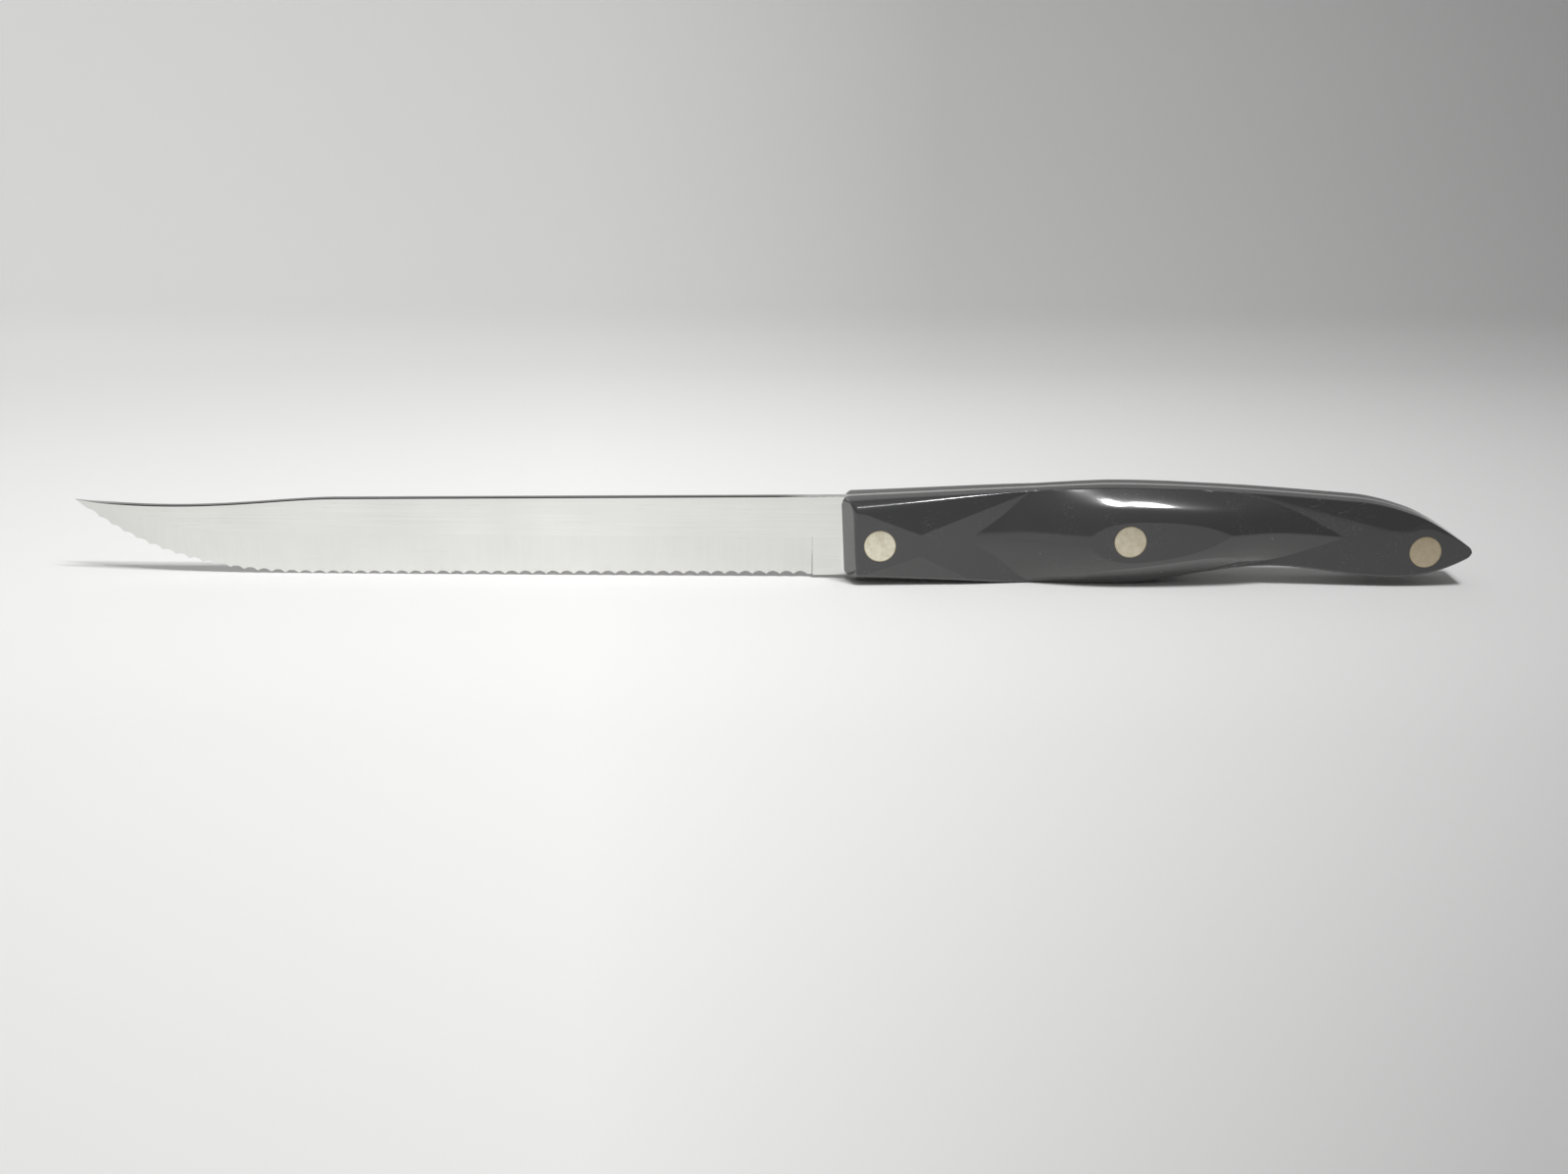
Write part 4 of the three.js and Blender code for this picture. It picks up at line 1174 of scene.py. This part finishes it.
class KNIFE_OT_blade(bpy.types.Operator):
    """Builds the blade with its ground band, scallops and tang"""

    bl_idname = "knife.blade"
    bl_label = "Blade"

    def execute(self, context):
        look = context.scene.knife_blade
        grid, ground, shaded = blade_grid(look)
        points = grid.reshape(-1, 3)
        kept, faces = welded(points, tube_faces(*grid.shape[:2]))
        made = mesh_object("finished_blade", points[kept], faces, sharp_angle=BLADE_SHARP_ANGLE)
        # The second mask is the painted shade of the steel.
        for name, mask in (("ground_band", ground), ("painted_steel_shade", shaded)):
            stored = made.data.attributes.new(name, "FLOAT", "POINT")
            stored.data.foreach_set("value", mask.astype(np.float32).ravel()[kept])
        made.data.materials.append(steel_material(look))
        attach(made, "root")
        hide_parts("blade")
        return {"FINISHED"}


def turned_object(name, profile, x, z):
    """A piece turned about the Y axis, with its own origin on that axis; profile is (radius, y) points."""
    turn = np.linspace(0, 2 * math.pi, TURNED_SEGMENTS, endpoint=False)
    radius, y = np.array(profile).T
    rings = np.stack(
        [radius[:, None] * np.cos(turn), y[:, None] + 0 * turn, radius[:, None] * np.sin(turn)], -1
    )
    faces = tube_faces(len(profile), TURNED_SEGMENTS)
    made = mesh_object(name, rings.reshape(-1, 3), faces, sharp_angle=RIVET_SHARP_ANGLE)
    made.location = (x * MM, 0, z * MM)
    return made


def head_profile(half, rim_round):
    """From the middle of a head's outer face to the foot of its rim."""
    bend = np.linspace(0, math.pi / 2, RIM_POINTS)
    rim = [
        (HEAD_RADIUS - rim_round * (1 - math.sin(a)), half - rim_round * (1 - math.cos(a))) for a in bend
    ]
    return [(AXIS_RADIUS, half), *rim, (HEAD_RADIUS, half - HEAD_THICKNESS)]


class KNIFE_OT_rivets(bpy.types.Operator):
    """Builds the three two-piece rivets"""

    bl_idname = "knife.rivets"
    bl_label = "Rivets"

    def execute(self, context):
        look = context.scene.knife_rivets
        material = rivet_material(look)
        for place, (s, z, half) in RIVETS.items():
            seat = half - HEAD_THICKNESS
            head = head_profile(half, look.rim_round / MM)
            sleeve = [
                *head,
                (SLEEVE_RADIUS, seat),
                (SLEEVE_RADIUS, SLEEVE_END_GAP - seat),
                (SLEEVE_BORE, SLEEVE_END_GAP - seat),
                (SLEEVE_BORE, seat),
                (AXIS_RADIUS, seat),
            ]
            post_end = seat - POST_END_GAP
            post = [
                *((r, -y) for r, y in head),
                (POST_RADIUS, -seat),
                (POST_RADIUS, post_end),
                (AXIS_RADIUS, post_end),
            ]
            for part, profile in (("sleeve", sleeve[::-1]), ("post", post)):
                node = f"{place}_rivet_{part}"
                made = turned_object(f"finished_{node}", profile, HANDLE_X + s, z)
                made.data.materials.append(material)
                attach(made, "root")
                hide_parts(node)
        return {"FINISHED"}


def add_lamp(name, place, width, height, power):
    """An oval lamp that shines at the knife."""
    light = bpy.data.lights.new(name, "AREA")
    light.shape = "ELLIPSE"
    light.size = width
    light.size_y = height
    light.energy = power
    lamp = bpy.data.objects.new(name, light)
    lamp.location = place
    lamp.rotation_mode = "QUATERNION"
    lamp.rotation_quaternion = (-place).to_track_quat("-Z", "Y")
    lamp.visible_camera = False
    bpy.context.scene.collection.objects.link(lamp)
    return lamp


def paper_object():
    """A sheet of paper on the floor that bends up behind the knife."""
    turn = np.linspace(0, math.pi / 2, PAPER_BEND_POINTS)[1:]
    wall = PAPER_BEND_AT + PAPER_BEND
    y = np.concatenate([[PAPER_FRONT, PAPER_BEND_AT], PAPER_BEND_AT + PAPER_BEND * np.sin(turn), [wall]])
    z = np.concatenate([[0, 0], PAPER_BEND * (1 - np.cos(turn)), [PAPER_TOP]])
    sides = (-PAPER_HALF_WIDTH, PAPER_HALF_WIDTH)
    points = np.array([(side, *row) for row in zip(y, z) for side in sides]) / MM
    return mesh_object("paper", points, [face[::-1] for face in sheet_faces(len(y), 2)])


def room_world(look):
    """Soft light from the room, stronger from above and weaker from the right."""
    world = bpy.data.worlds.new("room")
    world.use_nodes = True
    tree = world.node_tree
    direction = add_node(tree, "ShaderNodeTexCoord").outputs["Generated"]
    parts = add_node(tree, "ShaderNodeSeparateXYZ", {0: direction})
    height = spread(tree, parts.outputs["Z"], look.ambient, look.overhead, *ROOM_RISE)
    side = spread(tree, parts.outputs["X"], *ROOM_SIDE_LIGHT, *ROOM_SIDES)
    strength = math_node(tree, "MULTIPLY", height, side)
    tree.links.new(strength, tree.nodes["Background"].inputs["Strength"])
    tree.nodes["Background"].inputs["Color"].default_value = (1, 1, 1, 1)
    return world


def camera_object(look):
    camera = bpy.data.cameras.new("camera")
    camera.sensor_width = SENSOR_WIDTH
    camera.sensor_fit = "HORIZONTAL"
    camera.lens = look.lens
    camera.clip_start = NEAREST_SEEN
    eye = bpy.data.objects.new("camera", camera)
    tilt = Matrix.Rotation(math.pi / 2 - look.elevation, 4, "X")
    eye.matrix_world = Matrix.Translation(look.camera_place) @ tilt @ Matrix.Rotation(look.roll, 4, "Z")
    bpy.context.scene.collection.objects.link(eye)
    return eye


class KNIFE_OT_stage(bpy.types.Operator):
    """Sets the paper, the lamps, the room's light and the camera"""

    bl_idname = "knife.stage"
    bl_label = "Stage"

    def execute(self, context):
        look = context.scene.knife_stage
        paper = paper_object()
        paper.data.materials.append(stage_material(look))
        shift = Vector((look.lamp_spacing / 2, 0, 0))
        front = (look.lamp_width, look.lamp_height, look.lamp_power)
        add_lamp("lamp_left", Vector(look.lamp_place) - shift, *front)
        add_lamp("lamp_right", Vector(look.lamp_place) + shift, *front)
        above = add_lamp("lamp_top", Vector(look.top_place), look.top_size, look.top_size, look.top_power)
        above.visible_glossy = False
        context.scene.world = room_world(look)
        context.scene.camera = camera_object(look)
        context.scene.view_settings.view_transform = "Standard"
        return {"FINISHED"}


class KNIFE_PT_panel(bpy.types.Panel):
    """Lists the knife's pieces and their settings"""

    bl_label = "Carving knife"
    bl_space_type = "VIEW_3D"
    bl_region_type = "UI"
    bl_category = "Knife"

    def draw(self, context):
        self.layout.operator("knife.finishes")
        for piece in ("scales", "blade", "rivets", "stage"):
            box = self.layout.box()
            box.operator(f"knife.{piece}")
            settings = getattr(context.scene, f"knife_{piece}")
            for key in settings.__annotations__:
                box.prop(settings, key)


GROUPS = {
    "knife_scales": KNIFE_PG_scales,
    "knife_blade": KNIFE_PG_blade,
    "knife_rivets": KNIFE_PG_rivets,
    "knife_stage": KNIFE_PG_stage,
}
CLASSES = (
    *GROUPS.values(),
    KNIFE_OT_finishes,
    KNIFE_OT_scales,
    KNIFE_OT_blade,
    KNIFE_OT_rivets,
    KNIFE_OT_stage,
    KNIFE_PT_panel,
)


def register():
    for entry in CLASSES:
        bpy.utils.register_class(entry)
    for name, group in GROUPS.items():
        setattr(bpy.types.Scene, name, bpy.props.PointerProperty(type=group))


def unregister():
    for name in GROUPS:
        delattr(bpy.types.Scene, name)
    for entry in reversed(CLASSES):
        bpy.utils.unregister_class(entry)


def main():
    register()
    bpy.ops.knife.finishes()
    bpy.ops.knife.scales()
    bpy.ops.knife.blade()
    bpy.ops.knife.rivets()
    bpy.ops.knife.stage()


if __name__ == "__main__":
    main()
